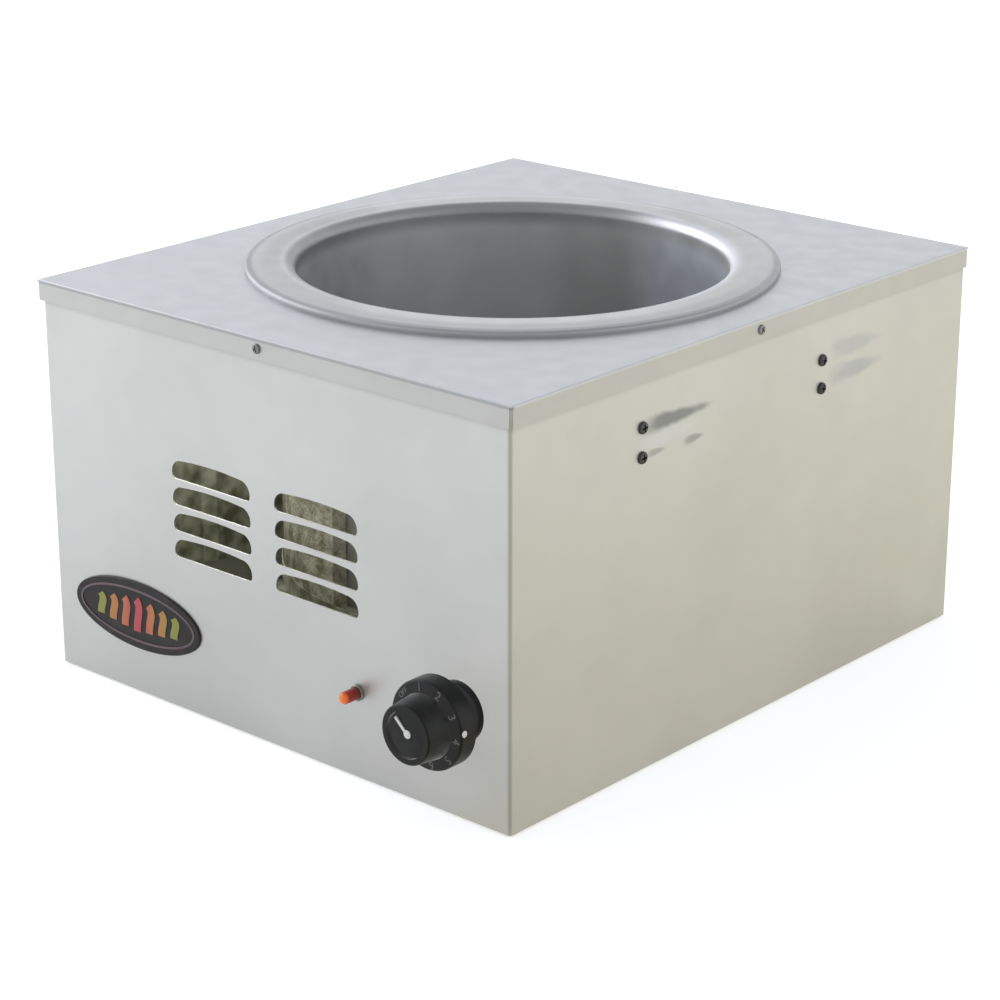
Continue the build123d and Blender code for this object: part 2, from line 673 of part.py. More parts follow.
def pilot_lamp():
    """Indicator: ring and domed lens outside the panel, barrel and nut inside."""
    front = facing((LAMP_X, FRONT, LAMP_H), FRONT_OUT)
    lens_seat = LENS_R + SCREW_PLAY
    ring_points = [
        (lens_seat, 0),
        (LAMP_RING_R, 0),
        (LAMP_RING_R, LAMP_RING_T - LAMP_RING_EDGE),
        (LAMP_RING_R - LAMP_RING_EDGE, LAMP_RING_T),
        (lens_seat, LAMP_RING_T),
    ]
    keep("pilot_ring", front * turned(ring_points))
    shoulder = LENS_L - LENS_DOME
    outline = [
        Line((0, 0), (LENS_R, 0)),
        Line((LENS_R, 0), (LENS_R, shoulder)),
        dome(LENS_R, shoulder, LENS_DOME),
        Line((0, LENS_L), (0, 0)),
    ]
    keep("pilot_lens", front * revolve(Plane.XZ * make_face(outline), Axis.Z))
    barrel = rod(LAMP_BARREL_R, (0, 0, 0), DOWN, LAMP_BARREL_L)
    for side in (-1, 1):
        x = side * LAMP_TAB_GAP / 2
        half = LAMP_TAB_W / 2
        foot = -LAMP_BARREL_L - LAMP_TAB_L
        barrel += block(x - SPADE_T / 2, x + SPADE_T / 2, -half, half, foot, -LAMP_BARREL_L)
    keep("pilot_barrel", front * barrel)
    nut = hex_nut(LAMP_NUT_R, LAMP_NUT_T, LAMP_BARREL_R + SCREW_PLAY)
    keep("pilot_nut", front * Pos(0, 0, -SHEET - LAMP_NUT_T) * nut)


def spade(x, y, z):
    """Flat connector tab whose root is at a point and which runs down."""
    half_w = SPADE_W / 2
    half_t = SPADE_T / 2
    return block(x - half_w, x + half_w, y - half_t, y + half_t, z - SPADE_L, z)


def control_plane():
    """Frame on the front of the panel at the knob's axis. Its Z is the distance out."""
    return facing((KNOB_X, FRONT, KNOB_H), FRONT_OUT)


def control_body():
    """Thermostat case behind the panel, hollow, with the bush that carries the shaft."""
    half_w = CONTROL_W / 2
    half_h = CONTROL_H / 2
    rear = -SHEET - CONTROL_D
    case = block(-half_w, half_w, -half_h, half_h, rear, -SHEET)
    case = fillet(case.edges().filter_by(Axis.Z), CONTROL_CORNER_R)
    wall = CONTROL_WALL
    room = block(-half_w + wall, half_w - wall, -half_h + wall, half_h - wall, rear + wall, -SHEET - wall)
    case -= room
    case += rod(BUSH_R, (0, 0, -SHEET), UP, SHEET + BEZEL_T - KNOB_GAP)
    case -= rod(SHAFT_R + SHAFT_RUN, (0, 0, -SHEET - 2 * wall), UP, BEZEL_T + 4 * wall)
    for step in (-1, 1):
        x = step * CONTROL_SCREW_PITCH / 2
        case -= rod(PANEL_SCREW_R + SCREW_PLAY, (x, 0, -SHEET - 2 * wall), UP, 4 * wall)
    for column in (-1, 1):
        for row in (-1, 1):
            x = column * SPADE_PITCH / 2
            y = row * SPADE_PITCH / 2 + SPADE_SHIFT
            case += spade(x, y, rear)
    keep("control_body", control_plane() * case)


def control_front():
    """Bezel on the panel, and the two screws that it hides."""
    points = [
        (BUSH_R + SCREW_PLAY, 0),
        (BEZEL_R, 0),
        (BEZEL_R, BEZEL_T - BEZEL_EDGE),
        (BEZEL_R - BEZEL_EDGE, BEZEL_T),
        (BUSH_R + SCREW_PLAY, BEZEL_T),
    ]
    bezel = turned(points)
    screws = []
    for step in (-1, 1):
        x = step * CONTROL_SCREW_PITCH / 2
        pocket = PANEL_SCREW_HEAD_H + SCREW_PLAY
        bezel -= rod(CONTROL_HEAD_R + SCREW_PLAY, (x, 0, -SHEET), UP, SHEET + pocket)
        screw = pan_screw(CONTROL_HEAD_R, PANEL_SCREW_HEAD_H, PANEL_SCREW_R, SCREW_LENGTH)
        screws.append(control_plane() * Pos(x, 0, 0) * screw)
    keep("control_bezel", control_plane() * bezel)
    keep("control_screws", *screws)


def flat_shaft(radius, z0, z1, flat_from):
    """Round bar along Z with a driving flat on its outer end."""
    bar = rod(radius, (0, 0, z0), UP, z1 - z0)
    flat = radius - SHAFT_FLAT
    bar -= block(flat, flat + 2 * radius, -2 * radius, 2 * radius, flat_from, z1 + SHEET)
    return bar


def knob():
    """Moulded knob: hub, hollow dial skirt with ribs, tapered grip with a dished front, and its pointer."""
    hub_z = BEZEL_T + KNOB_GAP
    dial_z = SKIRT_BACK + DIAL_T
    front_z = dial_z + GRIP_L
    floor_z = front_z - DISH_DEPTH
    crown = (0, floor_z + DISH_CROWN)
    room_r = DIAL_R - DIAL_WALL
    room_z = dial_z - DIAL_WALL - DIAL_SLOPE
    corners = [
        (0, hub_z),
        (HUB_R, hub_z),
        (HUB_R, room_z),
        (room_r, room_z),
        (room_r, SKIRT_BACK),
        (DIAL_R, SKIRT_BACK),
        (DIAL_R, dial_z - DIAL_SLOPE),
        (GRIP_R, dial_z),
        (GRIP_FRONT_R, front_z),
        (DISH_R, front_z),
        (DISH_R, floor_z),
    ]
    outline = Polyline(*corners) + dome(DISH_R, floor_z, DISH_CROWN) + Line(crown, corners[0])
    section = make_face(outline)
    dial_edge = section.vertices().sort_by_distance((DIAL_R, dial_z - DIAL_SLOPE))[0]
    section = fillet(dial_edge, DIAL_EDGE_R)
    grip_edge = section.vertices().sort_by_distance((GRIP_FRONT_R, front_z))[0]
    section = fillet(grip_edge, GRIP_EDGE_R)
    body = revolve(Plane.XZ * section, Axis.Z)
    bite = DIAL_WALL / 2
    half = KNOB_RIB_T / 2
    rib = block(HUB_R - bite, room_r + bite, -half, half, SKIRT_BACK + KNOB_RIB_BACK, room_z + bite)
    for turn in range(KNOB_RIBS):
        body += Rot(0, 0, 360 * turn / KNOB_RIBS) * rib
    body -= flat_shaft(SHAFT_R + SHAFT_RUN, 0, SHAFT_TOP + SHAFT_RUN, hub_z + FLAT_FROM)
    keep("knob", control_plane() * body)
    bar_top = crown[1] + POINTER_PROUD
    bar_end = POINTER_START + POINTER_L
    bar = block(POINTER_START, bar_end, -POINTER_W / 2, POINTER_W / 2, floor_z, bar_top)
    bar = Rot(0, 0, POINTER_ANGLE) * bar - body
    keep("knob_pointer", control_plane() * bar)


def control_shaft():
    """Shaft from the cam inside the thermostat to the knob."""
    inner = -SHEET - CONTROL_WALL - CAM_GAP
    shaft = flat_shaft(SHAFT_R, inner - CAM_T, SHAFT_TOP, BEZEL_T + KNOB_GAP + FLAT_FROM)
    shaft += rod(CAM_R, (0, 0, inner), DOWN, CAM_T)
    keep("control_shaft", control_plane() * shaft)


def bulb_place(out, z):
    """Point on the ray from the well's axis through the sensing bulb."""
    angle = math.radians(BULB_AZIMUTH)
    return (out * math.cos(angle), out * math.sin(angle), z)


def bend_radii(points, bend):
    """One radius for each corner: the wanted bend, or less where its runs are short."""
    corners = [Vector(*point) for point in points]
    radii = []
    for before, corner, after in zip(corners, corners[1:], corners[2:]):
        run_in = corner - before
        run_out = after - corner
        half_turn = math.radians(run_in.get_angle(run_out) / 2)
        room = BEND_SHARE * min(run_in.length, run_out.length) / math.tan(half_turn)
        radii.append(min(bend, room))
    return radii


def tube(points, radius, bend):
    """Round tube along straight runs joined by tangent arcs."""
    path = FilletPolyline(*points, radius=bend_radii(points, bend))
    start = Plane(origin=path @ 0, z_dir=path % 0)
    return sweep(start * Circle(radius), path)


def sensing():
    """Capillary tube from the thermostat, its bulb on the well's wall and the clips that hold it."""
    out = WELL_OUT_R + BULB_GAP + BULB_R
    foot = WELL_FLOOR + BULB_FROM_FLOOR
    bulb = rod(BULB_R, (0, 0, 0), UP, BULB_L)
    ends = bulb.edges().filter_by(GeomType.CIRCLE)
    bulb = chamfer(ends, BULB_R - CAPILLARY_R - BULB_GAP)
    keep("sensing_bulb", Pos(*bulb_place(out, foot)) * bulb)
    start_x = KNOB_X - CAPILLARY_SIDE
    start_y = FRONT_IN + CONTROL_D
    start_z = KNOB_H - CAPILLARY_DROP
    points = [
        (start_x, start_y, start_z),
        (start_x, start_y + CAPILLARY_RUN, start_z),
        bulb_place(out + CAPILLARY_RUN, CAPILLARY_Z),
        bulb_place(out, CAPILLARY_Z),
        bulb_place(out, foot),
    ]
    keep("capillary_tube", tube(points, CAPILLARY_R, CAPILLARY_BEND))
    clips = []
    hold = BULB_R + BULB_GAP
    for level in (BULB_L / 4, 3 * BULB_L / 4):
        z = foot + level - CLIP_H / 2
        wide = 2 * (hold + CLIP_T + CLIP_WING)
        outer = Circle(hold + CLIP_T) + Pos(-hold / 2, 0) * Rectangle(hold, 2 * (hold + CLIP_T))
        inner = Circle(hold) + Pos(-hold / 2, 0) * Rectangle(hold, 2 * hold)
        wings = Pos(-hold + CLIP_T / 2, 0) * Rectangle(CLIP_T, wide)
        beyond = Pos(-1.5 * hold, 0) * Rectangle(hold, 2 * wide)
        profile = outer + wings - inner - beyond
        clip = extrude(profile, CLIP_H)
        clips.append(Pos(*bulb_place(out, z)) * Rot(0, 0, BULB_AZIMUTH) * clip)
    keep("bulb_clips", *clips)


def heater():
    """Flat heater under the well with its pad, clamp plate, welded studs and nuts."""
    plate = rod(HEATER_R, (0, 0, HEATER_Z), UP, HEATER_T)
    middle = HEATER_Z + HEATER_T / 2
    for azimuth in HEATER_TAB_AZIMUTH:
        z0 = middle - SPADE_T / 2
        tab = block(HEATER_R - SHEET, HEATER_R + SPADE_L, -SPADE_W / 2, SPADE_W / 2, z0, z0 + SPADE_T)
        plate += Rot(0, 0, azimuth) * tab
    pad = rod(HEATER_R, (0, 0, PAD_Z), UP, PAD_T)
    clamp_outline = [
        (0, PAD_Z),
        (HEATER_R, PAD_Z),
        (HEATER_R, CLAMP_Z - CLAMP_LIP),
        (HEATER_R - CLAMP_T, CLAMP_Z - CLAMP_LIP),
        (HEATER_R - CLAMP_T, CLAMP_Z),
        (0, CLAMP_Z),
    ]
    clamp = turned(clamp_outline)
    studs = []
    nuts = []
    for turn in range(STUD_COUNT):
        angle = math.radians(360 * (turn + 0.5) / STUD_COUNT)
        x = STUD_CIRCLE_R * math.cos(angle)
        y = STUD_CIRCLE_R * math.sin(angle)
        hole = rod(STUD_R + HOLE_PLAY, (x, y, NUT_Z), UP, STUD_LENGTH + HEATER_T)
        plate -= hole
        pad -= hole
        clamp -= hole
        studs.append(rod(STUD_R, (x, y, STUD_Z), UP, STUD_LENGTH))
        nuts.append(Pos(x, y, NUT_Z) * hex_nut(NUT_R, NUT_T, STUD_R + SCREW_PLAY))
    keep("heater_plate", plate)
    keep("heater_pad", pad)
    keep("clamp_plate", clamp)
    keep("heater_studs", *studs)
    keep("heater_nuts", *nuts)


def limit_place(shift, z):
    """Point under the limit thermostat, moved along the tangent of its circle."""
    angle = math.radians(LIMIT_AZIMUTH)
    out = HEATER_R + LIMIT_GAP + LIMIT_R
    x = out * math.cos(angle) - shift * math.sin(angle)
    y = out * math.sin(angle) + shift * math.cos(angle)
    return (x, y, z)


def limit_thermostat():
    """Snap-disc cut-out seated on the underside of the well's floor."""
    base = WELL_FLOOR_UNDER - LIMIT_T
    disc = rod(LIMIT_R, (0, 0, 0), UP, LIMIT_T / 2) + rod(LIMIT_FOOT_R, (0, 0, 0), DOWN, LIMIT_T / 2)
    for side in (-1, 1):
        disc += spade(0, side * LIMIT_R / 2, -LIMIT_T / 2)
    keep("limit_thermostat", Pos(*limit_place(0, base + LIMIT_T / 2)) * Rot(0, 0, LIMIT_AZIMUTH) * disc)


def blanket():
    """Fibre blanket round the well, open along the sensing bulb, and the two straps round it."""
    body = ring(BLANKET_OUT_R, BLANKET_IN_R, BLANKET_Z0, BLANKET_Z1)
    half = BLANKET_SLOT / 2
    gap = block(BLANKET_IN_R - BLANKET_T, BLANKET_OUT_R + BLANKET_T, -half, half, 0, DECK_Z)
    body -= Rot(0, 0, BULB_AZIMUTH) * gap
    keep("blanket", body)
    strap_r = BLANKET_OUT_R + STRAP_PLAY
    low = BLANKET_Z0 + STRAP_INSET
    high = BLANKET_Z1 - STRAP_INSET - STRAP_W
    straps = []
    for z in (low, high):
        straps.append(ring(strap_r + STRAP_T, strap_r, z, z + STRAP_W))
    keep("blanket_straps", *straps)


def shield_outline():
    """Plan of one heat shield: Y along the wall, X away from it, with a pad at each pair of screws."""
    a = SIDE_SCREW_Y[0] - SHIELD_PAD_W / 2
    b = SIDE_SCREW_Y[0] + SHIELD_PAD_W / 2
    c = SIDE_SCREW_Y[1] - SHIELD_PAD_W / 2
    d = SIDE_SCREW_Y[1] + SHIELD_PAD_W / 2
    stand = SHIELD_STAND
    thick = SHIELD_T
    lean = thick * math.tan(math.radians(22.5))
    wall_side = [(0, a), (0, b), (stand, b + stand), (stand, c - stand), (0, c), (0, d)]
    room_side = [
        (thick, d),
        (thick, c + lean),
        (stand + thick, c - stand + lean),
        (stand + thick, b + stand - lean),
        (thick, b - lean),
        (thick, a),
    ]
    return wall_side + room_side


def shields():
    """Heat shields that keep the two side walls cool."""
    top = SIDE_SCREW_Z[0] + SHIELD_PAD_MARGIN
    for name, side in (("shield_left", -1), ("shield_right", 1)):
        corners = [(side * (IN_X - x), y) for x, y in shield_outline()]
        sheet = extrude(make_face(Polyline(*corners, close=True)), top - SHIELD_FOOT_Z)
        sheet = Pos(0, 0, SHIELD_FOOT_Z - sheet.bounding_box().min.Z) * sheet
        for y in SIDE_SCREW_Y:
            for z in SIDE_SCREW_Z:
                out = (side, 0, 0)
                start = (side * (IN_X - 2 * SHIELD_T), y, z)
                sheet -= rod(SIDE_SCREW_R + SCREW_PLAY, start, out, 3 * SHIELD_T)
        keep(name, sheet)


def wall_screws():
    """Screws of the skirts, the side walls, the back panel, and the rivets of the base pan."""
    side = []
    skirt = []
    panel = []
    for out in (LEFT_OUT, RIGHT_OUT):
        x = out[0] * SHELL_X
        for y in SIDE_SCREW_Y:
            for z in SIDE_SCREW_Z:
                side.append(screw_at((x, y, z), out, SIDE_SCREW_HEAD_R, SIDE_SCREW_HEAD_H, SIDE_SCREW_R))
        at = (out[0] * LID_X, 0, SKIRT_SCREW_Z)
        skirt.append(screw_at(at, out, SKIRT_SCREW_HEAD_R, SKIRT_SCREW_HEAD_H, SKIRT_SCREW_R))
        for z in panel_screw_heights():
            at = (out[0] * FLANGE_MID_X, BACK, z)
            panel.append(screw_at(at, BACK_OUT, PANEL_SCREW_HEAD_R, PANEL_SCREW_HEAD_H, PANEL_SCREW_R))
    for out in (FRONT_OUT, BACK_OUT):
        at = (0, out[1] * LID_Y, SKIRT_SCREW_Z)
        skirt.append(screw_at(at, out, SKIRT_SCREW_HEAD_R, SKIRT_SCREW_HEAD_H, SKIRT_SCREW_R))
    keep("side_screws", *side)
    keep("skirt_screws", *skirt)
    keep("panel_screws", *panel)
    rivets = []
    for x, y in PAN_RIVET_SITES:
        rivet = rod(RIVET_HEAD_R, (x, y, SHELL_Z0 - RIVET_HEAD_H), UP, RIVET_HEAD_H)
        rivet += rod(RIVET_R, (x, y, SHELL_Z0), UP, 2 * SHEET)
        rivet += rod(RIVET_TAIL_R, (x, y, SHELL_Z0 + 2 * SHEET), UP, RIVET_TAIL_H)
        rivets.append(rivet)
    keep("pan_rivets", *rivets)


def entry_bushing():
    """Snap-in bushing that lines the cord hole in the back panel."""
    inner = -SHEET - ENTRY_BODY_L
    latch = -SHEET - SCREW_PLAY
    points = [
        (ENTRY_BORE_R, inner),
        (ENTRY_BODY_R - ENTRY_EDGE, inner),
        (ENTRY_BODY_R, inner + ENTRY_EDGE),
        (ENTRY_BODY_R, latch - ENTRY_LATCH_L),
        (ENTRY_BODY_R + ENTRY_LATCH, latch),
        (ENTRY_BODY_R, latch),
        (ENTRY_BODY_R, 0),
        (ENTRY_FLANGE_R, 0),
        (ENTRY_FLANGE_R, ENTRY_FLANGE_T - ENTRY_EDGE),
        (ENTRY_FLANGE_R - ENTRY_EDGE, ENTRY_FLANGE_T),
        (ENTRY_BORE_R, ENTRY_FLANGE_T),
    ]
    keep("entry_bushing", facing((ENTRY_X, BACK, ENTRY_H), BACK_OUT) * turned(points))


def block_pole(pole):
    """X of one pole of the terminal block."""
    return BLOCK_X + (pole - (BLOCK_POLES - 1) / 2) * BLOCK_L / BLOCK_POLES


def terminal_block():
    """Moulded block on the base pan, with a screw in each well."""
    x0 = BLOCK_X - BLOCK_L / 2
    y0 = BLOCK_Y - BLOCK_D / 2
    body = block(x0, x0 + BLOCK_L, y0, y0 + BLOCK_D, PAN_TOP, PAN_TOP + BLOCK_H)
    well_floor = PAN_TOP + BLOCK_H - BLOCK_WELL_DEPTH
    screws = []
    for pole in range(BLOCK_POLES):
        x = block_pole(pole)
        body -= rod(BLOCK_ENTRY_R, (x, y0 - SHEET, PAN_TOP + BLOCK_ENTRY_Z), BACK_OUT, BLOCK_D + 2 * SHEET)
        for row in (-1, 1):
            y = BLOCK_Y + row * BLOCK_SCREW_OUT
            body -= rod(BLOCK_WELL_R, (x, y, well_floor), UP, BLOCK_H)
            screw = rod(BLOCK_SCREW_R, (x, y, well_floor), UP, BLOCK_SCREW_H)
            top = well_floor + BLOCK_SCREW_H
            half = BLOCK_SLOT_W / 2
            slot = block(x - BLOCK_SCREW_R, x + BLOCK_SCREW_R, y - half, y + half, top - SHEET, top)
            screws.append(screw - slot)
    for pole in range(BLOCK_POLES - 1):
        x = (block_pole(pole) + block_pole(pole + 1)) / 2
        body -= block(x - SHEET, x + SHEET, y0, y0 + BLOCK_D, well_floor, PAN_TOP + BLOCK_H)
    keep("terminal_block", body)
    keep("terminal_screws", *screws)


def earth_stud():
    """Earth bolt through the base pan, with its nut."""
    length = EARTH_L + SHEET
    bolt = rod(EARTH_R, (EARTH_X, EARTH_Y, PAN_PLATE_Z), UP, length)
    head = extrude(RegularPolygon(EARTH_HEAD_R, 6), EARTH_HEAD_H)
    head = Pos(EARTH_X, EARTH_Y, PAN_PLATE_Z - EARTH_HEAD_H) * head
    nut = Pos(EARTH_X, EARTH_Y, PAN_TOP) * hex_nut(EARTH_NUT_R, EARTH_NUT_T, EARTH_R + SCREW_PLAY)
    keep("earth_stud", bolt + head, nut)


def wire(name, *points):
    """One insulated lead along a list of points."""
    keep(name, tube(points, WIRE_R, WIRE_BEND))


def wires():
    """Leads between the block, the thermostat, the limit thermostat and the heater."""
    tip_y = FRONT_IN + CONTROL_D + SPADE_L + WIRE_R
    spade_z = KNOB_H + SPADE_SHIFT - SPADE_PITCH / 2
    block_y = BLOCK_Y - BLOCK_D / 2 + WIRE_R
    block_z = PAN_TOP + BLOCK_ENTRY_Z
    out_x = KNOB_X + SPADE_PITCH / 2
    in_x = KNOB_X - SPADE_PITCH / 2
    low_z = PAN_TOP + WIRE_RISE
    last = block_pole(BLOCK_POLES - 1)
    middle = block_pole(1)
    wire(
        "lead_supply",
        (out_x, tip_y, spade_z),
        (out_x, tip_y + WIRE_REACH, spade_z),
        (last + WIRE_REACH / 2, tip_y + 3 * WIRE_REACH, low_z + WIRE_REACH / 2),
        (last, block_y - WIRE_REACH, block_z),
        (last, block_y, block_z),
    )
    heater_z = HEATER_Z + HEATER_T / 2
    tabs = []
    for azimuth in HEATER_TAB_AZIMUTH:
        angle = math.radians(azimuth)
        tabs.append((math.cos(angle), math.sin(angle)))
    near = HEATER_R + SPADE_L + WIRE_R
    clear = BLANKET_OUT_R + WIRE_BEND
    wire(
        "lead_heater",
        (in_x, tip_y, spade_z),
        (in_x, tip_y + WIRE_REACH, spade_z),
        (clear * tabs[0][0], clear * tabs[0][1], heater_z - WIRE_R),
        (near * tabs[0][0], near * tabs[0][1], heater_z),
    )
    spade_foot = WELL_FLOOR_UNDER - LIMIT_T - SPADE_L - WIRE_R
    left = limit_place(LIMIT_R / 2, spade_foot)
    left_low = limit_place(LIMIT_R / 2, low_z)
    wire(
        "lead_limit",
        left,
        left_low,
        (middle, block_y - WIRE_REACH, block_z),
        (middle, block_y, block_z),
    )


def build():
    """Makes every piece."""
    shell()
    back_panel()
    deck()
    well()
    rim_seal()
    base_pan()
    feet()
    name_plate()
    pilot_lamp()
    control_body()
    control_front()
    knob()
    control_shaft()
    sensing()
    heater()
    limit_thermostat()
    blanket()
    shields()
    wall_screws()
    entry_bushing()
    terminal_block()
    earth_stud()
    wires()


build()
os.makedirs("parts", exist_ok=True)
for name, piece in PARTS.items():
    export_step(piece, "parts/" + name + ".step")
print(len(PARTS), "nodes")
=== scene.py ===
import json
import math

import bpy
from mathutils import Matrix, Quaternion, Vector

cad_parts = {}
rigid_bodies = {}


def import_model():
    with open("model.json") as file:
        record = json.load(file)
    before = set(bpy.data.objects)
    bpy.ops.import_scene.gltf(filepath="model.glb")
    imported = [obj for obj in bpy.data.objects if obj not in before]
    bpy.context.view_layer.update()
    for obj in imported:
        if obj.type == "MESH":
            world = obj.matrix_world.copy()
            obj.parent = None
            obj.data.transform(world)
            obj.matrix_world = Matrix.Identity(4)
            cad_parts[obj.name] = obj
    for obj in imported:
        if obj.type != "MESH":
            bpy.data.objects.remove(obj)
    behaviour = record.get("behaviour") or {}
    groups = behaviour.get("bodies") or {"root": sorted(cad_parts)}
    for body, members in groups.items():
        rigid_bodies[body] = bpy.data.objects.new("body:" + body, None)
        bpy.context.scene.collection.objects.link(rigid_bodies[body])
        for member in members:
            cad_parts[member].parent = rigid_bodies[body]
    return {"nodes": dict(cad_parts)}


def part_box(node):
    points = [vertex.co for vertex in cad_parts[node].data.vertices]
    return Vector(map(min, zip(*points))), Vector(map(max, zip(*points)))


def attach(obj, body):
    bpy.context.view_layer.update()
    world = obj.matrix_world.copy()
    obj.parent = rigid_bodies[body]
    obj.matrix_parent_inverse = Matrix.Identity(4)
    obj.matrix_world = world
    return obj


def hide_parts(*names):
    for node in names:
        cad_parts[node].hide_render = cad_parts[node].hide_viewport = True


# Looks of the countertop food warmer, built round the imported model. Lengths are in metres, and a
# length that is written in millimetres is multiplied by MM.

MM = 0.001

# Camera, as the photograph was taken
CAMERA_TURN = 41.382
CAMERA_RISE = 19.751
CAMERA_DISTANCE = 1.839
CAMERA_TARGET = Vector((-0.03727, 0.03063, 0.07797))
CAMERA_LENS = 101.46
SENSOR = 36.0

# Stage. A reach gives where a tone starts and where it is full.
WHITE = (1, 1, 1, 1)
FLOOR_SIZE = 12.0
FLOOR_PAPER = (0.9, 0.9, 0.9, 1)
FLOOR_WHITE = (0.49, 0.49, 0.49, 1)
FLOOR_NEAR = (0.18, 0.18, 0.172, 1)
FLOOR_FAR = (0.33, 0.33, 0.318, 1)
FLOOR_REACH = (0.3, 0.95)
WARM_SIDE = (1.08, 1.02, 0.8, 1)
WARM_REACH = (-0.1, 0.05)
PALE_SIDE = (1.08, 1.08, 1.04, 1)
PALE_REACH = (0.2, 0.75)
PALE_SHARE = 0.7
ROOM_SIDE = (1.07, 1.1, 1.15, 1)
ROOM_TOP = (0.5, 0.51, 0.54, 1)
ROOM_RISE = (0.4, 0.85)
DIM_SIDE = (0.5, 0.5, 0.5, 1)
DIM_REACH = (0.45, 0.95)

# Lights
WINDOW_PLACE = (-1.7, -0.25, 1.0)
WINDOW_AIM = (0, 0, 0.25)
WINDOW_SIDE = 1.6
WINDOW_POWER = 13
WINDOW_COLOUR = (0.93, 0.96, 1.0)
FILL_COLOUR = (1.0, 0.99, 0.95)
FILL_DROP = 8.0 * MM
FRONT_FILL_POWER = 0.14
FRONT_FILL_SIZE = (280.0 * MM, 40.0 * MM)
FRONT_FILL_X = -30.0 * MM
FRONT_FILL_IN = 30.0 * MM
FRONT_FILL_TILT = 20.0 * MM
LEFT_FILL_POWER = 1.7 * FRONT_FILL_POWER
LEFT_FILL_SIZE = (30.0 * MM, 260.0 * MM)
LEFT_FILL_Y = -20.0 * MM
LEFT_FILL_IN = 25.0 * MM

# Screws
SKIRT_SCREW_HEAD = 3.0 * MM
SKIRT_SHANK = 1.7 * MM
SIDE_SCREW_HEAD = 3.7 * MM
SIDE_SHANK = 2.0 * MM
PANEL_SCREW_HEAD = 3.6 * MM
PANEL_SHANK = 1.9 * MM
SCREW_REACH = 8.0 * MM
RECESS_ARM = 0.28

# Turn of each screw's recess in degrees. The skirt's are for its front, back, left and right, and
# the side walls' change by so much with each millimetre along and up.
SKIRT_SPINS = (20, 65, 35, 50)
SIDE_SPIN = 30
SIDE_SPIN_ALONG = 0.4 / MM
SIDE_SPIN_UP = 0.09 / MM
PANEL_SPIN = 25
PANEL_SPIN_STEP = 40

# Welded corners of the lid
SEAM_R = 1.3 * MM
SEAM_IN = 1.5 * MM
SEAM_DROP = 1.2 * MM
SEAM_ROUND = 0.3 * MM

# Print on the knob's dial
DIAL_FACE = 27.6 * MM
DIAL_TILT = 8.0
NUMBER_RADIUS = 22.3 * MM
NUMBER_SIZE = 7.0 * MM
OFF_SIZE = 4.6 * MM
FIRST_NUMBER = 101.0
NUMBER_STEP = 36.0
OFF_ANGLE = 137.0
INK = 0.12 * MM
DOT_RADIUS = 1.9 * MM
DOT_ANGLE = 4.5
DOT_DEPTH = 24.75 * MM

# Pale spot at the inner end of the pointer, at the knob's middle: a white piece that paints the glint
# there. Its heights are shares of the pointer's, and its top's radius is a share of its own.
SPOT_R = 2.5 * MM
SPOT_SIDE_H = 0.75
SPOT_TOP_R = 0.85
SPOT_TOP_H = 0.9

# Print on the name plate
BORDER_INSET = 4.6 * MM
BORDER_W = 1.5 * MM
PRINT_PROUD = 0.12 * MM
WAVES = 7
WAVE_STEP = 11.0 * MM
WAVE_H = 21.0 * MM
WAVE_FALL = 2.6 * MM
WAVE_THICK = 0.3

# Colours of the print across the plate, by the distance from its middle, and of the lens, by how
# far it stands out of the front
PRINT_STOPS = [
    (-33.0 * MM, (146, 150, 58)),
    (-17.0 * MM, (200, 124, 60)),
    (0.0, (198, 66, 80)),
    (17.0 * MM, (200, 124, 60)),
    (33.0 * MM, (146, 150, 58)),
]
LENS_STOPS = [
    (13.6 * MM, (236, 128, 48)),
    (10.0 * MM, (140, 36, 18)),
    (4.0 * MM, (84, 22, 14)),
]
STOPS_SHARE = 0.85
LENS_GLOW = 0.22

# Fibre
BLANKET_THICK = 11.0 * MM
BLANKET_SLOT = 30.0 * MM
BLANKET_ROUND = 3.0 * MM
SLOT_AZIMUTH = -103.0
PAD_ROUND = 2.0 * MM
TUFT_SIZE = 25.0 * MM
TUFT_DEPTH = 1.2 * MM
TUFT_LEVEL = 0.9

# Well, from its profile
SHEET = 1.0 * MM
WELL_R = 133.5 * MM
WELL_CORNER_R = 18.0 * MM
ROLL_R = 6.6 * MM
INNER_H = 4.6 * MM
CREST_W = 13.0 * MM
SHOULDER_W = 5.4 * MM
SHOULDER_H = 4.2 * MM
EDGE_H = 3.7 * MM
EDGE_R = 2.4 * MM
CROWN_RISE = 0.04
EDGE_FALL = -0.15
FLOOR_HOLE = 0.05 * MM

# Zones of painted shade and painted light in the steel: darker under the lid, on its front fold and
# skirt, and darker and paler sides of the well's roll, crest and wall. A tint multiplies the colour.
# A reach gives where it starts and where it is full: for the lid and the roll from their edges, and
# across the well from its axis. The line across the well, from its painted dim side to its painted
# bright side, is turned from X in degrees.
ACROSS_TURN = 41.4
# Painted shade on the body's walls in a band just under the lid's skirt
UNDER_LID_SHADE_TINT = (0.82, 0.82, 0.8, 1)
UNDER_LID_REACH = (-4.0 * MM, 0.0)
# Painted dark line along the front fold at the top of the lid's skirt, in place of the bend's dark
# reflection
FOLD_SHADE_TINT = (0.68, 0.68, 0.68, 1)
FOLD_FACE_REACH = (-3.5 * MM, -1.2 * MM)
FOLD_TOP_REACH = (-0.1 * MM, -0.5 * MM)
FOLD_FOOT_REACH = (-2.6 * MM, -1.5 * MM)
# Painted shade: the lid's skirt a little darker and warmer than its top
SKIRT_SHADE_TINT = (0.91, 0.895, 0.86, 1)
SKIRT_REACH = (-1.2 * MM, -2.0 * MM)
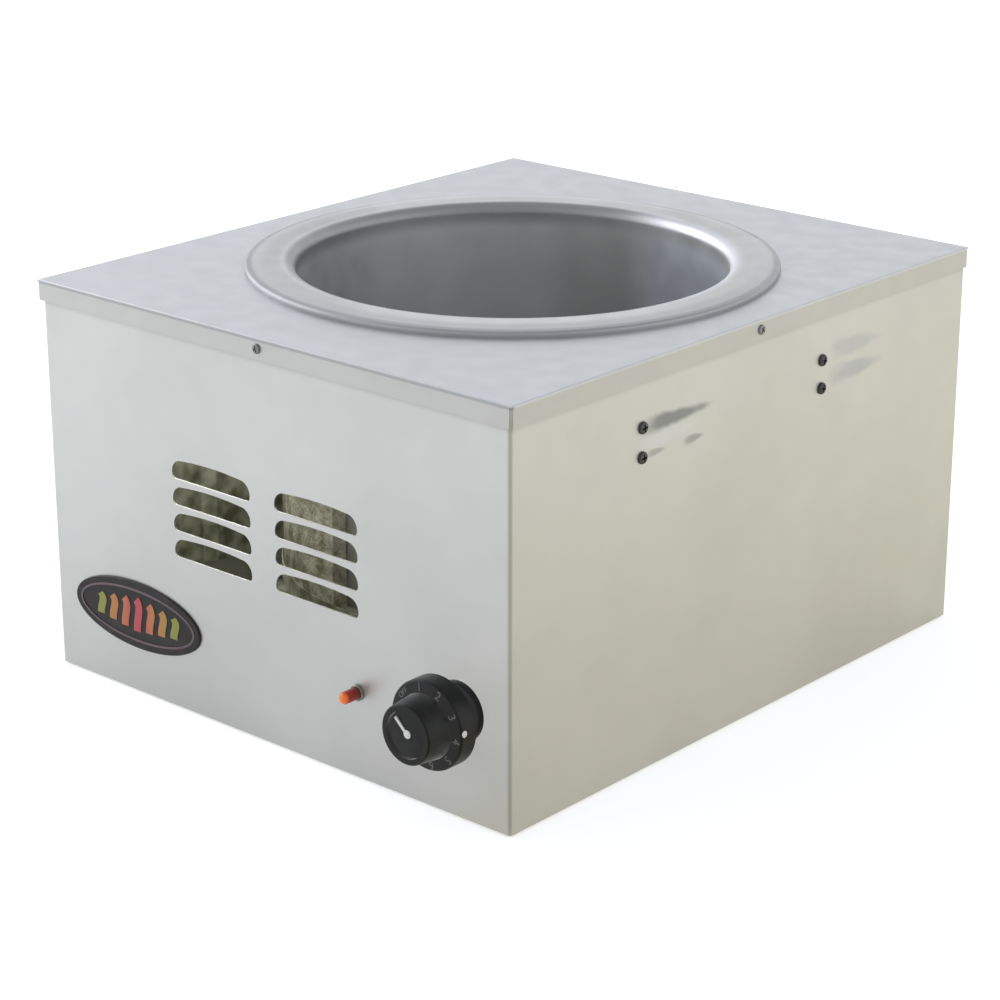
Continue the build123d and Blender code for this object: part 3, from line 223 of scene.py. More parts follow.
# Painted shade on the dim side of the well's inner roll, and a painted highlight on its bright side
ROLL_REACH = (2.0 * MM, -3.0 * MM)
ROLL_SHADE_TINT = (0.58, 0.58, 0.58, 1)
ROLL_DIM_DOWN = (-12.0 * MM, -3.0 * MM)
ROLL_DIM_ACROSS = (105.0 * MM, 60.0 * MM)
ROLL_HIGHLIGHT_TINT = (1.2, 1.2, 1.26, 1)
ROLL_BRIGHT_DOWN = (-4.0 * MM, 0.0)
ROLL_BRIGHT_ACROSS = (70.0 * MM, 105.0 * MM)
# Painted shade on the rim's outer edge, which dulls its highlight
RIM_EDGE_SHADE_TINT = (0.72, 0.72, 0.74, 1)
RIM_EDGE_REACH = (-6.0 * MM, -3.0 * MM)
# Painted shade on the left and right sides of the rim's crest
CREST_REACH = (0.0, 5.0 * MM)
CREST_ACROSS = (60.0 * MM, 120.0 * MM)
CREST_LEFT_SHADE_TINT = (0.84, 0.84, 0.84, 1)
CREST_RIGHT_SHADE_TINT = (0.92, 0.92, 0.9, 1)
# Painted light, bluish, on the bright side of the well's wall, and painted shade in a band across it
INSIDE_DOWN = (-3.0 * MM, -12.0 * MM)
INSIDE_WALL_REACH = (-12.0 * MM, -4.0 * MM)
INSIDE_PAINTED_LIGHT_TINT = (1.2, 1.25, 1.34, 1)
INSIDE_BRIGHT_ACROSS = (76.0 * MM, 104.0 * MM)
INSIDE_SHADE_TINT = (0.82, 0.82, 0.8, 1)
INSIDE_DIM_START = (15.0 * MM, 45.0 * MM)
INSIDE_DIM_END = (92.0 * MM, 70.0 * MM)

# Paler and darker streaks, on the outer face of the right wall alone
WALL_FACE_REACH = (-2.1 * MM, -1.1 * MM)
PALE = (0.69, 0.71, 0.75, 1)
DARK_STREAK = (0.27, 0.285, 0.28, 1)
BLUISH = (0.44, 0.46, 0.5, 1)

# Each streak: front or back screw, low or high screw, how far back and above it, half the length
# and height, how strong, and its colour.
SIDE_STREAKS = [
    (0, 1, 25 * MM, -9 * MM, 26 * MM, 6 * MM, 0.5, PALE),
    (0, 1, 29 * MM, -0.5 * MM, 29 * MM, 5.0 * MM, 0.9, DARK_STREAK),
    (0, 0, 12 * MM, 0.5 * MM, 8 * MM, 2.2 * MM, 0.5, DARK_STREAK),
    (0, 0, 47 * MM, 0 * MM, 9 * MM, 2.6 * MM, 0.6, DARK_STREAK),
    (1, 1, 34 * MM, 3 * MM, 26 * MM, 6 * MM, 0.45, BLUISH),
    (1, 0, 36 * MM, 5 * MM, 27 * MM, 6 * MM, 0.6, BLUISH),
]


def paint(red, green, blue):
    """Colour from display values of 0 to 255."""
    linear = []
    for value in (red, green, blue):
        part = value / 255
        linear.append(part / 12.92 if part <= 0.04045 else ((part + 0.055) / 1.055) ** 2.4)
    return (*linear, 1.0)


def set_camera():
    """Long lens from the front right, a little above the deck."""
    turn = math.radians(CAMERA_TURN)
    rise = math.radians(CAMERA_RISE)
    level = math.cos(rise)
    back = Vector((math.sin(turn) * level, -math.cos(turn) * level, math.sin(rise)))
    aim = back.to_track_quat("Z", "Y").to_euler()
    bpy.ops.object.camera_add(location=CAMERA_TARGET + back * CAMERA_DISTANCE, rotation=aim)
    camera = bpy.context.object
    camera.data.lens = CAMERA_LENS
    camera.data.sensor_width = SENSOR
    bpy.context.scene.camera = camera


# Shader nodes


def feed(tree, socket, value):
    """Gives an input a value, or another node's output."""
    if isinstance(value, bpy.types.NodeSocket):
        tree.links.new(value, socket)
    else:
        socket.default_value = value


def add(tree, kind, settings=None, inputs=None):
    """New shader node with its menus set and its inputs fed by name or number."""
    made = tree.nodes.new("ShaderNode" + kind)
    for name, value in (settings or {}).items():
        setattr(made, name, value)
    for name, value in (inputs or {}).items():
        feed(tree, made.inputs[name], value)
    return made


def mixed(tree, amount, first, second, blend="MIX"):
    """Colour between two others."""
    settings = {"data_type": "RGBA", "blend_type": blend}
    return add(tree, "Mix", settings, {0: amount, 6: first, 7: second}).outputs[2]


def spread(tree, value, low, high, to_low=0.0, to_high=1.0):
    """Value stretched from one range to another, and held inside it."""
    inputs = {"Value": value, "From Min": low, "From Max": high, "To Min": to_low, "To Max": to_high}
    return add(tree, "MapRange", {"interpolation_type": "SMOOTHSTEP"}, inputs).outputs[0]


def sum_of(tree, first, second, share=1.0):
    """First plus second times share."""
    inputs = {0: second, 1: share, 2: first}
    return add(tree, "Math", {"operation": "MULTIPLY_ADD"}, inputs).outputs[0]


def noise(tree, vector, scale, detail=3.0, stretch=(1.0, 1.0, 1.0)):
    """Grey noise, drawn out along the axes whose stretch is small."""
    placed = add(tree, "Mapping", None, {"Vector": vector, "Scale": stretch}).outputs[0]
    inputs = {"Vector": placed, "Scale": scale, "Detail": detail}
    return add(tree, "TexNoise", None, inputs).outputs["Fac"]


def new_group(name, takes):
    """Shader group that takes named inputs and gives a colour, a roughness and a height."""
    group = bpy.data.node_groups.new(name, "ShaderNodeTree")
    group.interface.new_socket("Vector", in_out="INPUT", socket_type="NodeSocketVector")
    for label, value in takes.items():
        kind = "NodeSocketFloat" if isinstance(value, float) else "NodeSocketColor"
        socket = group.interface.new_socket(label, in_out="INPUT", socket_type=kind)
        socket.default_value = value
    group.interface.new_socket("Color", in_out="OUTPUT", socket_type="NodeSocketColor")
    group.interface.new_socket("Roughness", in_out="OUTPUT", socket_type="NodeSocketFloat")
    group.interface.new_socket("Height", in_out="OUTPUT", socket_type="NodeSocketFloat")
    return group, group.nodes.new("NodeGroupInput").outputs


def close_group(group, colour, roughness, height):
    """Joins a group's three results to its outputs."""
    end = group.nodes.new("NodeGroupOutput")
    feed(group, end.inputs["Color"], colour)
    feed(group, end.inputs["Roughness"], roughness)
    feed(group, end.inputs["Height"], height)
    return group


def sheet_metal_group():
    """Rolled sheet: fine grain along one way, soft clouds in the tone, and a shallow waviness."""
    takes = {
        "Tint": paint(200, 200, 198),
        "Shade": paint(180, 180, 176),
        "Roughness": 0.25,
        "Grain": 0.3,
        "Waves": 0.5,
        "Spangle": 0.0,
    }
    group, given = new_group("Sheet metal", takes)
    vector = given["Vector"]
    grain = noise(group, vector, 900.0, 2.0, (1.0, 1.0, 0.02))
    cloud = noise(group, vector, 9.0, 3.0)
    fine = noise(group, vector, 60.0, 4.0)
    waves = noise(group, vector, 14.0, 1.0)
    tone = sum_of(group, spread(group, cloud, 0.35, 0.65, 0.0, 0.7), fine, 0.3)
    blotches = spread(group, noise(group, vector, 90.0, 1.5), 0.25, 0.75, -1.0, 1.0)
    tone = sum_of(group, tone, blotches, given["Spangle"])
    colour = mixed(group, tone, given["Shade"], given["Tint"])
    rough = sum_of(group, given["Roughness"], spread(group, fine, 0.3, 0.7, -0.03, 0.05))
    rough = sum_of(group, rough, spread(group, cloud, 0.3, 0.8, 0.0, 0.03))
    ridges = add(group, "Math", {"operation": "MULTIPLY"}, {0: grain, 1: given["Grain"]}).outputs[0]
    swell = add(group, "Math", {"operation": "MULTIPLY"}, {0: waves, 1: given["Waves"]}).outputs[0]
    return close_group(group, colour, rough, sum_of(group, ridges, swell, 8.0))


def moulded_group():
    """Moulded plastic or rubber: a fine skin, with paler dust in the hollows of the grain."""
    takes = {
        "Tint": paint(40, 40, 40),
        "Dust": paint(90, 90, 88),
        "Dustiness": 0.1,
        "Roughness": 0.4,
        "Grain": 0.5,
    }
    group, given = new_group("Moulded skin", takes)
    vector = given["Vector"]
    skin = noise(group, vector, 1400.0, 2.0)
    cloud = noise(group, vector, 70.0, 4.0)
    amount = add(group, "Math", {"operation": "MULTIPLY"}, {
        0: spread(group, cloud, 0.45, 0.75), 1: given["Dustiness"]}).outputs[0]
    colour = mixed(group, amount, given["Tint"], given["Dust"])
    rough = sum_of(group, given["Roughness"], spread(group, cloud, 0.3, 0.7, -0.05, 0.08))
    height = add(group, "Math", {"operation": "MULTIPLY"}, {0: skin, 1: given["Grain"]}).outputs[0]
    return close_group(group, colour, rough, height)


def fibre_group():
    """Matted fibre: tangled threads with lighter and darker tufts."""
    takes = {"Tint": paint(204, 203, 184), "Shade": paint(124, 122, 96), "Roughness": 0.95}
    group, given = new_group("Matted fibre", takes)
    vector = given["Vector"]
    threads = noise(group, vector, 420.0, 6.0)
    tufts = noise(group, vector, 85.0, 1.5)
    fine = spread(group, threads, 0.35, 0.65, 0.0, 0.25)
    tone = sum_of(group, fine, spread(group, tufts, 0.3, 0.7), 0.75)
    colour = mixed(group, tone, given["Shade"], given["Tint"])
    height = sum_of(group, threads, tufts, 2.0)
    return close_group(group, colour, given["Roughness"], height)


def streak_group():
    """Streak on the right wall, paler or darker and a little rougher: soft along Y about a centre,
    thinner at its back end.
    """
    takes = {
        "Color": paint(200, 200, 198),
        "Streak": paint(150, 152, 150),
        "Roughness": 0.3,
        "Along": 0.0,
        "Level": 0.2,
        "Reach": 0.03,
        "Drop": 0.005,
        "Strength": 0.5,
    }
    group, given = new_group("Streak", takes)
    parts = add(group, "SeparateXYZ", None, {0: given["Vector"]}).outputs
    ragged = noise(group, given["Vector"], 70.0, 3.0, (1.0, 1.0, 2.0))
    shares = []
    for axis, centre, size in (("Y", "Along", "Reach"), ("Z", "Level", "Drop")):
        off = sum_of(group, parts[axis], given[centre], -1.0)
        shares.append(add(group, "Math", {"operation": "DIVIDE"}, {0: off, 1: given[size]}).outputs[0])
    narrow = sum_of(group, 1.1, shares[0], 0.5)
    rise = add(group, "Math", {"operation": "MULTIPLY"}, {0: shares[1], 1: narrow}).outputs[0]
    place = add(group, "CombineXYZ", None, {0: shares[0], 1: rise}).outputs[0]
    far = add(group, "VectorMath", {"operation": "LENGTH"}, {0: place}).outputs["Value"]
    far = sum_of(group, far, ragged, 0.7)
    amount = spread(group, far, 0.85, 1.6, 1.0, 0.0)
    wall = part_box("shell")[1].x
    on_wall = spread(group, parts["X"], wall + WALL_FACE_REACH[0], wall + WALL_FACE_REACH[1])
    for share in (on_wall, given["Strength"]):
        amount = add(group, "Math", {"operation": "MULTIPLY"}, {0: amount, 1: share}).outputs[0]
    colour = mixed(group, amount, given["Color"], given["Streak"])
    rough = sum_of(group, given["Roughness"], amount, 0.1)
    return close_group(group, colour, rough, far)


def surface(name, group, takes, constants, depth=0.1 * MM):
    """Material whose colour, roughness and bumps come from a group."""
    material = bpy.data.materials.new(name)
    material.use_nodes = True
    tree = material.node_tree
    skin = tree.nodes["Principled BSDF"]
    effect = add(tree, "Group", {"node_tree": group}, takes)
    feed(tree, effect.inputs["Vector"], add(tree, "TexCoord").outputs["Object"])
    feed(tree, skin.inputs["Base Color"], effect.outputs["Color"])
    feed(tree, skin.inputs["Roughness"], effect.outputs["Roughness"])
    bump = add(tree, "Bump", None, {"Distance": depth, "Height": effect.outputs["Height"]})
    feed(tree, skin.inputs["Normal"], bump.outputs[0])
    for label, value in constants.items():
        skin.inputs[label].default_value = value
    return material


def glow_in_reflections(material, strength):
    """Makes a material glow white to reflected rays alone: a painted paler reflection, which softens
    the dark image it leaves in the steel beside it.
    """
    tree = material.node_tree
    skin = tree.nodes["Principled BSDF"]
    glossy = add(tree, "LightPath").outputs["Is Glossy Ray"]
    skin.inputs["Emission Color"].default_value = WHITE
    feed(tree, skin.inputs["Emission Strength"], sum_of(tree, 0.0, glossy, strength))


def tint_zone(material, tint, limits):
    """Multiplies a material's colour by a tint inside its limits.

    A limit is a direction, or None for the distance from the well's axis, with the two places
    along it where the tint starts and where it is full."""
    tree = material.node_tree
    skin = tree.nodes["Principled BSDF"]
    place = add(tree, "TexCoord").outputs["Object"]
    amount = 1.0
    for direction, start, full in limits:
        if direction is None:
            flat = add(tree, "VectorMath", {"operation": "MULTIPLY"}, {0: place, 1: (1, 1, 0)})
            reach = add(tree, "VectorMath", {"operation": "LENGTH"}, {0: flat.outputs["Vector"]})
        else:
            reach = add(tree, "VectorMath", {"operation": "DOT_PRODUCT"}, {0: place, 1: direction})
        share = spread(tree, reach.outputs["Value"], start, full)
        amount = add(tree, "Math", {"operation": "MULTIPLY"}, {0: amount, 1: share}).outputs[0]
    colour = skin.inputs["Base Color"].links[0].from_socket
    feed(tree, skin.inputs["Base Color"], mixed(tree, amount, colour, tint, "MULTIPLY"))


def add_streaks(material, streak_tree):
    """Lays paler and darker streaks beside the side screws, over the colour and roughness that are
    there.
    """
    tree = material.node_tree
    skin = tree.nodes["Principled BSDF"]
    vector = add(tree, "TexCoord").outputs["Object"]
    low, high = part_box("side_screws")
    rows = (low.y + SIDE_SCREW_HEAD, high.y - SIDE_SCREW_HEAD)
    levels = (low.z + SIDE_SCREW_HEAD, high.z - SIDE_SCREW_HEAD)
    for row, level, on, above, reach, drop, strength, colour in SIDE_STREAKS:
        takes = {
            "Vector": vector,
            "Color": skin.inputs["Base Color"].links[0].from_socket,
            "Roughness": skin.inputs["Roughness"].links[0].from_socket,
            "Streak": colour,
            "Along": rows[row] + on,
            "Level": levels[level] + above,
            "Reach": reach,
            "Drop": drop,
            "Strength": strength,
        }
        effect = add(tree, "Group", {"node_tree": streak_tree}, takes)
        feed(tree, skin.inputs["Base Color"], effect.outputs["Color"])
        feed(tree, skin.inputs["Roughness"], effect.outputs["Roughness"])


def by_distance(name, axis, stops, group, takes, constants, glow=0.0):
    """Material whose colour runs through stops along one axis, over the small marks of a group."""
    material = surface(name, group, takes, constants, 0.02 * MM)
    tree = material.node_tree
    skin = tree.nodes["Principled BSDF"]
    parts = add(tree, "SeparateXYZ", None, {0: add(tree, "TexCoord").outputs["Object"]}).outputs
    colour = skin.inputs["Base Color"].links[0].from_socket
    before = stops[0]
    run = before[1]
    for stop in stops[1:]:
        amount = spread(tree, parts[axis], before[0], stop[0])
        run = mixed(tree, amount, run, stop[1])
        before = stop
    colour = mixed(tree, STOPS_SHARE, colour, run)
    feed(tree, skin.inputs["Base Color"], colour)
    if glow:
        feed(tree, skin.inputs["Emission Color"], colour)
        skin.inputs["Emission Strength"].default_value = glow
    return material


# Settings that are the same all over a surface
METAL = {"Metallic": 1.0}
SATIN = {"Metallic": 0.86}
DRAWN = {"Metallic": 0.8}
ZINC = {"Metallic": 0.7}
LOW_GLOSS = {"Specular IOR Level": 0.3}
# Glow of the knob's plastic seen in reflections alone, a painted paler reflection
KNOB_REFLECTION_GLOW = 0.8


def make_finishes():
    """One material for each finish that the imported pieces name, and for the print made here."""
    metal = sheet_metal_group()
    moulded = moulded_group()
    fibre = fibre_group()
    case = {"Tint": paint(210, 210, 208), "Shade": paint(202, 202, 199), "Roughness": 0.4}
    deck = {"Tint": paint(205, 206, 207), "Shade": paint(201, 202, 203), "Roughness": 0.39}
    deck["Waves"] = 0.3
    well = {"Tint": paint(209, 209, 208), "Shade": paint(201, 201, 200), "Roughness": 0.41}
    well["Waves"] = 0.3
    inner = {"Tint": paint(224, 226, 212), "Shade": paint(136, 138, 118), "Roughness": 0.5}
    inner["Waves"] = 0.8
    inner["Spangle"] = 0.5
    screw = {"Tint": paint(168, 168, 168), "Shade": paint(120, 120, 122), "Roughness": 0.3}
    dark = {"Tint": paint(92, 92, 92), "Shade": paint(58, 58, 60), "Roughness": 0.36}
    aluminium = {"Tint": paint(206, 208, 212), "Shade": paint(176, 178, 182), "Roughness": 0.42}
    copper = {"Tint": paint(200, 140, 108), "Shade": paint(150, 92, 66), "Roughness": 0.34}
    lamp = {"Tint": paint(140, 142, 128), "Shade": paint(96, 98, 86), "Roughness": 0.3}
    for turned in (screw, dark, copper, lamp):
        turned["Grain"] = 0.1
    black = {"Tint": paint(18, 18, 18), "Dust": paint(76, 76, 80), "Roughness": 0.34}
    block = {"Tint": paint(62, 50, 44), "Dust": paint(110, 100, 90), "Roughness": 0.5}
    white = {"Tint": paint(226, 226, 222), "Dust": paint(150, 150, 146), "Roughness": 0.45}
    ink = {"Tint": paint(112, 114, 110), "Dust": paint(60, 60, 58), "Roughness": 0.5}
    ink["Dustiness"] = 0.7
    plate = {"Tint": paint(36, 34, 33), "Dust": paint(84, 72, 76), "Roughness": 0.35}
    plate["Dustiness"] = 0.3
    border = {"Tint": paint(104, 86, 94), "Dust": paint(74, 64, 68), "Roughness": 0.4}
    border["Dustiness"] = 0.4
    rubber = {"Tint": paint(34, 34, 36), "Dust": paint(100, 98, 94), "Roughness": 0.75}
    rubber["Dustiness"] = 0.3
    sheath = {"Tint": paint(60, 60, 62), "Dust": paint(110, 108, 104), "Roughness": 0.5}
    lens = {"Tint": paint(190, 34, 20), "Dust": paint(200, 60, 30), "Roughness": 0.16}
    lens["Dustiness"] = 0.05
    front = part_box("shell")[0].y
    lens_run = [(front - out, paint(*tone)) for out, tone in LENS_STOPS]
    plate_low, plate_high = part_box("name_plate")
    middle = (plate_low.x + plate_high.x) / 2
    print_run = [(middle + on, paint(*tone)) for on, tone in PRINT_STOPS]
    finishes = {
        "case_steel": surface("Body steel", metal, case, SATIN, 0.004 * MM),
        "deck_steel": surface("Deck steel", metal, deck, SATIN, 0.004 * MM),
        "well_steel": surface("Well steel", metal, well, DRAWN, 0.004 * MM),
        "inner_steel": surface("Galvanised steel", metal, inner, ZINC, 0.02 * MM),
        "screw_steel": surface("Screw steel", metal, screw, METAL, 0.01 * MM),
        "dark_screw": surface("Blackened screw", metal, dark, METAL, 0.01 * MM),
        "aluminium": surface("Aluminium", metal, aluminium, METAL, 0.02 * MM),
        "copper": surface("Copper", metal, copper, METAL, 0.01 * MM),
        "lamp_ring": surface("Lamp ring", metal, lamp, METAL, 0.01 * MM),
        "black_plastic": surface("Black plastic", moulded, black, LOW_GLOSS, 0.03 * MM),
        "block_plastic": surface("Brown phenolic", moulded, block, {}, 0.05 * MM),
        "white_plastic": surface("White plastic", moulded, white, {}, 0.03 * MM),
        "dial_ink": surface("Dial ink", moulded, ink, {}, 0.02 * MM),
        "plate_black": surface("Plate lacquer", moulded, plate, LOW_GLOSS, 0.03 * MM),
        "plate_border": surface("Plate border", moulded, border, {}, 0.02 * MM),
        "heat_print": by_distance("Heat print", "X", print_run, moulded, border, {}),
        "rubber": surface("Rubber", moulded, rubber, {}, 0.1 * MM),
        "wire_sheath": surface("Wire sheath", moulded, sheath, {}, 0.05 * MM),
        "red_lens": by_distance("Red lens", "Y", lens_run, moulded, lens, {}, LENS_GLOW),
        "fibre": surface("Fibre", fibre, {}, {}, 1.5 * MM),
    }
    add_zones(finishes)
    add_streaks(finishes["case_steel"], streak_group())
    # The knob's plastic glows white to reflected rays: a painted paler reflection in the steel
    glow_in_reflections(finishes["black_plastic"], KNOB_REFLECTION_GLOW)
    return finishes


def limit(direction, place, reach):
    """Limit of a zone: its direction, with a reach counted from a place along it."""
    return (direction, place + reach[0], place + reach[1])


def add_zones(finishes):
    """Painted shade under the lid, on its front fold and on its skirt, and painted shade and painted
    highlights on the dim and bright sides of the well.

    The line across the well is the one that runs from left to right in the photograph."""
    low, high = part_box("deck")
    up = (0, 0, 1)
    front = (0, -1, 0)
    turn = math.radians(ACROSS_TURN)
    right = (math.cos(turn), math.sin(turn), 0)
    left = (-right[0], -right[1], 0)
    # Painted shade on the walls just under the lid
    under_lid = limit(up, low.z, UNDER_LID_REACH)
    tint_zone(finishes["case_steel"], UNDER_LID_SHADE_TINT, [under_lid])

    lid = finishes["deck_steel"]
    # Painted dark reflection along the front fold of the lid
    fold = [
        limit(front, -low.y, FOLD_FACE_REACH),
        limit(up, high.z, FOLD_TOP_REACH),
        limit(up, high.z, FOLD_FOOT_REACH),
    ]
    tint_zone(lid, FOLD_SHADE_TINT, fold)
    # Painted shade on the lid's skirt
    tint_zone(lid, SKIRT_SHADE_TINT, [limit(up, high.z, SKIRT_REACH)])

    steel = finishes["well_steel"]
    roll_r = WELL_R + ROLL_R
    roll = limit(None, roll_r, ROLL_REACH)
    # Painted shade and painted highlight on the inner roll
    roll_dim = [roll, limit(up, high.z, ROLL_DIM_DOWN), limit(right, 0, ROLL_DIM_ACROSS)]
    tint_zone(steel, ROLL_SHADE_TINT, roll_dim)
    roll_bright = [roll, limit(up, high.z, ROLL_BRIGHT_DOWN), limit(right, 0, ROLL_BRIGHT_ACROSS)]
    tint_zone(steel, ROLL_HIGHLIGHT_TINT, roll_bright)
    # Painted shade on the rim's outer edge
    tint_zone(steel, RIM_EDGE_SHADE_TINT, [limit(None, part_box("well")[1].x, RIM_EDGE_REACH)])
    # Painted shade on the crest's left and right sides
    crest = limit(None, roll_r, CREST_REACH)
    tint_zone(steel, CREST_LEFT_SHADE_TINT, [crest, limit(left, 0, CREST_ACROSS)])
    tint_zone(steel, CREST_RIGHT_SHADE_TINT, [crest, limit(right, 0, CREST_ACROSS)])
    # Painted light and painted shade on the well's inner wall
    inside = [limit(up, high.z, INSIDE_DOWN), limit(None, WELL_R, INSIDE_WALL_REACH)]
    tint_zone(steel, INSIDE_PAINTED_LIGHT_TINT, [*inside, limit(right, 0, INSIDE_BRIGHT_ACROSS)])
    dim_run = [limit(right, 0, INSIDE_DIM_START), limit(right, 0, INSIDE_DIM_END)]
    tint_zone(steel, INSIDE_SHADE_TINT, [*inside, *dim_run])


def dress_nodes(nodes, finishes):
    """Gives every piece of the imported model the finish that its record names."""
    for node in nodes.values():
        for holder in node.material_slots:
            holder.material = finishes[holder.material.name]


# Pieces


def start_edit():
    """Edit mode on the active piece with everything selected."""
    bpy.ops.object.mode_set(mode="EDIT")
    bpy.ops.mesh.select_mode(type="VERT")
    bpy.ops.mesh.select_all(action="SELECT")


def end_edit():
    """Back to object mode with the faces turned outwards."""
    bpy.ops.mesh.select_all(action="SELECT")
    bpy.ops.mesh.remove_doubles(threshold=0.001 * MM)
    bpy.ops.mesh.normals_make_consistent(inside=False)
    bpy.ops.object.mode_set(mode="OBJECT")


def only(piece):
    """Makes one piece the selected and active one."""
    bpy.ops.object.select_all(action="DESELECT")
    piece.select_set(True)
    bpy.context.view_layer.objects.active = piece


def fix_place(piece):
    """Puts the piece's place, turn and size into its mesh."""
    only(piece)
    bpy.ops.object.transform_apply(location=True, rotation=True, scale=True)


def smooth_by_angle(piece, degrees=35):
    """Smooth shading with the sharp edges kept."""
    only(piece)
    bpy.ops.object.shade_smooth_by_angle(angle=math.radians(degrees))


def finish_piece(piece, name, body, finish):
    """Names, dresses and hangs a piece on its body."""
    piece.name = name
    piece.data.name = name
    piece.data.materials.clear()
    piece.data.materials.append(finish)
    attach(piece, body)


def turned_piece(profile, around=48):
    """Round piece about Z: a disc drawn up through the radii and levels of its profile."""
    radius, level = profile[0]
    middle = (0, 0, 0)
    bpy.ops.mesh.primitive_circle_add(vertices=around, radius=radius, fill_type="NGON", location=middle)
    piece = bpy.context.object
    start_edit()
    bpy.ops.transform.translate(value=(0, 0, level))
    for next_radius, next_level in profile[1:]:
        bpy.ops.mesh.extrude_region_move(TRANSFORM_OT_translate={"value": (0, 0, next_level - level)})
        grow = next_radius / radius
        bpy.ops.transform.resize(value=(grow, grow, 1), center_override=middle)
        radius, level = next_radius, next_level
    end_edit()
    return piece


def cut_away(piece, tool):
    """Takes a tool's shape out of a piece and throws the tool away."""
    only(piece)
    bpy.ops.object.modifier_add(type="BOOLEAN")
    cut = piece.modifiers[-1]
    cut.operation = "DIFFERENCE"
    cut.solver = "EXACT"
    cut.object = tool
    bpy.ops.object.modifier_apply(modifier=cut.name)
    bpy.data.objects.remove(tool)


def arc(centre, radius, start, end, steps):
    """Points on an arc, from one angle in degrees to another."""
    points = []
    for step in range(steps + 1):
        angle = math.radians(start + (end - start) * step / steps)
        points.append((centre[0] + radius * math.cos(angle), centre[1] + radius * math.sin(angle)))
    return points


def smooth_run(points, slopes, steps):
    """Points on a smooth curve through a few points, with a slope given at each."""
    run = []
    for (x0, y0), (x1, y1), s0, s1 in zip(points, points[1:], slopes, slopes[1:]):
        for step in range(steps):
            t = step / steps
            width = x1 - x0
            rise = (2 * t**3 - 3 * t**2 + 1) * y0 + (3 * t**2 - 2 * t**3) * y1
            rise += (t**3 - 2 * t**2 + t) * width * s0 + (t**3 - t**2) * width * s1
            run.append((x0 + t * width, rise))
    run.append(points[-1])
    return run


def spun_sheet(profile, around):
    """Sheet spun about Z from a line of points: one corner drawn out from point to point."""
    bpy.ops.mesh.primitive_plane_add(size=MM, location=(0, 0, 0))
    sheet = bpy.context.object
    start_edit()
    bpy.ops.mesh.merge(type="CENTER")
    radius, level = profile[0]
    bpy.ops.transform.translate(value=(radius, 0, level))
    for next_radius, next_level in profile[1:]:
        step = (next_radius - radius, 0, next_level - level)
        bpy.ops.mesh.extrude_region_move(TRANSFORM_OT_translate={"value": step})
        radius, level = next_radius, next_level
    bpy.ops.mesh.select_all(action="SELECT")
    bpy.ops.mesh.spin(steps=around, angle=2 * math.pi, center=(0, 0, 0), axis=(0, 0, 1))
    end_edit()
    return sheet


def make_well(finishes):
    """Well and rim spun from one sheet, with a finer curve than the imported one."""
    low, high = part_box("well")
    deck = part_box("deck")[1].z
    rim_r = high.x
    floor = low.z + SHEET
    roll = (WELL_R + ROLL_R, deck + INNER_H - ROLL_R)
    lip = (rim_r - EDGE_R, deck + EDGE_H - EDGE_R)
    crown = [
        (roll[0], deck + INNER_H),
        (rim_r - CREST_W, high.z),
        (rim_r - SHOULDER_W, deck + SHOULDER_H),
        (lip[0], deck + EDGE_H),
    ]
    profile = [(FLOOR_HOLE, floor), (0.6 * WELL_R, floor)]
    profile += arc((WELL_R - WELL_CORNER_R, floor + WELL_CORNER_R), WELL_CORNER_R, -90, 0, 12)
    profile += [(WELL_R, floor + (roll[1] - floor) * share) for share in (0.3, 0.6, 0.9)]
    profile += arc(roll, ROLL_R, 180, 90, 12)[:-1]
    profile += smooth_run(crown, (CROWN_RISE, 0.0, EDGE_FALL, EDGE_FALL), 6)
    profile += arc(lip, EDGE_R, 90, 0, 8)[1:]
    profile += [(rim_r, deck)]
    well = spun_sheet(profile, 240)
    only(well)
    bpy.ops.object.modifier_add(type="SOLIDIFY")
    wall = well.modifiers[-1]
    wall.thickness = SHEET
    wall.offset = -1.0
    bpy.ops.object.modifier_apply(modifier=wall.name)
    smooth_by_angle(well, 60)
    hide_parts("well")
    finish_piece(well, "well_and_rim", "housing", finishes["well_steel"])


def make_screw(head_radius, head_height, shank_radius, length):
    """Pan head screw with a cross recess, seated at zero with its head up."""
    profile = [
        (0.6 * shank_radius, -length),
        (shank_radius, -length + 0.4 * shank_radius),
        (shank_radius, 0),
        (head_radius, 0),
        (head_radius, 0.3 * head_height),
        (0.95 * head_radius, 0.6 * head_height),
        (0.82 * head_radius, 0.83 * head_height),
        (0.6 * head_radius, 0.95 * head_height),
        (0.3 * head_radius, head_height),
    ]
    screw = turned_piece(profile)
    for turn in (0, 90):
        bpy.ops.mesh.primitive_cube_add(size=1, location=(0, 0, head_height))
        arm = bpy.context.object
        arm.rotation_euler = (0, 0, math.radians(turn))
        arm.scale = (1.25 * head_radius, RECESS_ARM * head_radius, 1.3 * head_height)
        fix_place(arm)
        cut_away(screw, arm)
    smooth_by_angle(screw)
    return screw


def joined(pieces):
    """Several pieces made one."""
    bpy.ops.object.select_all(action="DESELECT")
    for piece in pieces:
        piece.select_set(True)
    bpy.context.view_layer.objects.active = pieces[0]
    bpy.ops.object.join()
    return pieces[0]


def copies_at(piece, places):
    """Copies of a piece at each place and turn, joined into one, in place of the first."""
    made = []
    for at, out, spin in places:
        only(piece)
        bpy.ops.object.duplicate(linked=False)
        copy = bpy.context.object
        copy.rotation_mode = "QUATERNION"
        facing = Vector(out).to_track_quat("Z", "Y")
        copy.rotation_quaternion = facing @ Quaternion((0, 0, 1), math.radians(spin))
        copy.location = at
        fix_place(copy)
        made.append(copy)
    bpy.data.objects.remove(piece)
    return joined(made)


